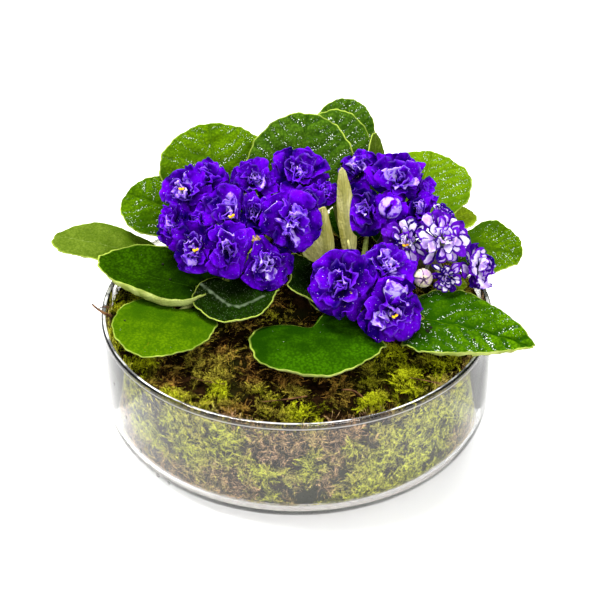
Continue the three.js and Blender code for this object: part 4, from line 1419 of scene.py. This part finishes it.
soil, _, _ = new_finish("soil", Base_Color=(0.008, 0.006, 0.004, 1), Roughness=0.7, Specular_IOR_Level=0.2)
bm = bmesh.new()
for name, x, y, size in SPECKS:
    rule = leaf_rule(name)[0]
    spots = [rule(0.05 * i, 0.1 * k)[0] for i in range(20) for k in range(63)]
    place = min(spots, key=lambda spot: math.hypot(spot.x - x, spot.y - y))
    bead(bm, place + Vector((0, 0, 1.2)), Vector((0, 0, 1)), size)
deliver("specks_of_soil", bm, soil)

# %% [markdown]
# ## Crowns
# The crown is the short woody stem that a plant's leaves and stalks grow from. Most of it stands in the
# moss. A turned profile gives its swelling, and noise presses it in a little, so that it isn't a machined
# shape.

# %% Crowns
wood, tree, shader = mottled_finish("crown", (4, 3, 0.35, 0.65, "4a3a22", "7c7a3c"), Roughness=0.8)
emboss(tree, shader, grain(tree, 1.5, 3), 0.5)

CROWN_SHAPE = [(0, 49), (6, 49), (6.8, 56), (7.2, 64), (7.5, 71), (7.4, 76), (7.4, 80), (7, 84), (5.2, 87.2),
               (2.6, 88), (0, 88)]
DENT = 0.06
for name, (x, y) in CROWNS.items():
    bm = bmesh.new()
    turned_profile(bm, CROWN_SHAPE, 28)
    for vert in bm.verts:
        vert.co.x *= 1 - DENT * abs(noise.noise(vert.co / 4))
        vert.co.y *= 1 - DENT * abs(noise.noise(vert.co / 4))
    bmesh.ops.translate(bm, vec=(x, y, 0), verts=bm.verts[:])
    deliver("stem_" + name, bm, wood, ["crown_" + name])

# %% [markdown]
# ## The bud
# The bud is a cream-coloured ball of petals that still lie folded over each other, green at the base and
# with violet edges. It is made like the closed globe above, with more petals. Red in marks runs from a
# petal's root to its tip, and green is how near the edge a point is.

# %% The bud's petals and their finish
bud_petal, tree, shader = new_finish("bud_petal", Roughness=0.6, Sheen_Weight=0.2, Sheen_Roughness=0.5)
share, edge, _, _ = marks_of(tree)
cream = mottle(tree, 3, 3, 0.42, 0.62, "e4dcae", "b492b8")
green_base, violet_edge = ease(tree, share, 0.4, 0.65, 0.8, 0.0), ease(tree, edge, 0.84, 0.95)
give_colour(tree, shader, layers(tree, cream, (green_base, "6e7434"), (violet_edge, "4c2460")))
emboss(tree, shader, grain(tree, 1.2), 0.2)

bm = bmesh.new()
_, at, _, radius, _, _ = BLOOMS["bud"]
closed_globe(bm, Vector(at), *flower_ways("bud"), radius, 7)
deliver("closed_bud", bm, bud_petal, ["mixed_bud"])

# %% [markdown]
# ## The table
# A plain white table runs under the dish and out of the picture. It only catches the soft shadow, so one
# flat square is enough.

# %% Table
table_top, tree, shader = new_finish("white_table", Roughness=0.9)
give_colour(tree, shader, blend(tree, grain(tree, 60), (0.93, 0.93, 0.93, 1), (0.95, 0.95, 0.95, 1)))
bm = bmesh.new()
bmesh.ops.create_grid(bm, x_segments=1, y_segments=1, size=6)
mesh = bpy.data.meshes.new("table")
bm.to_mesh(mesh)
bm.free()
mesh.materials.append(table_top)
table = bpy.data.objects.new("table", mesh)
bpy.context.collection.objects.link(table)
print("table laid under the dish")
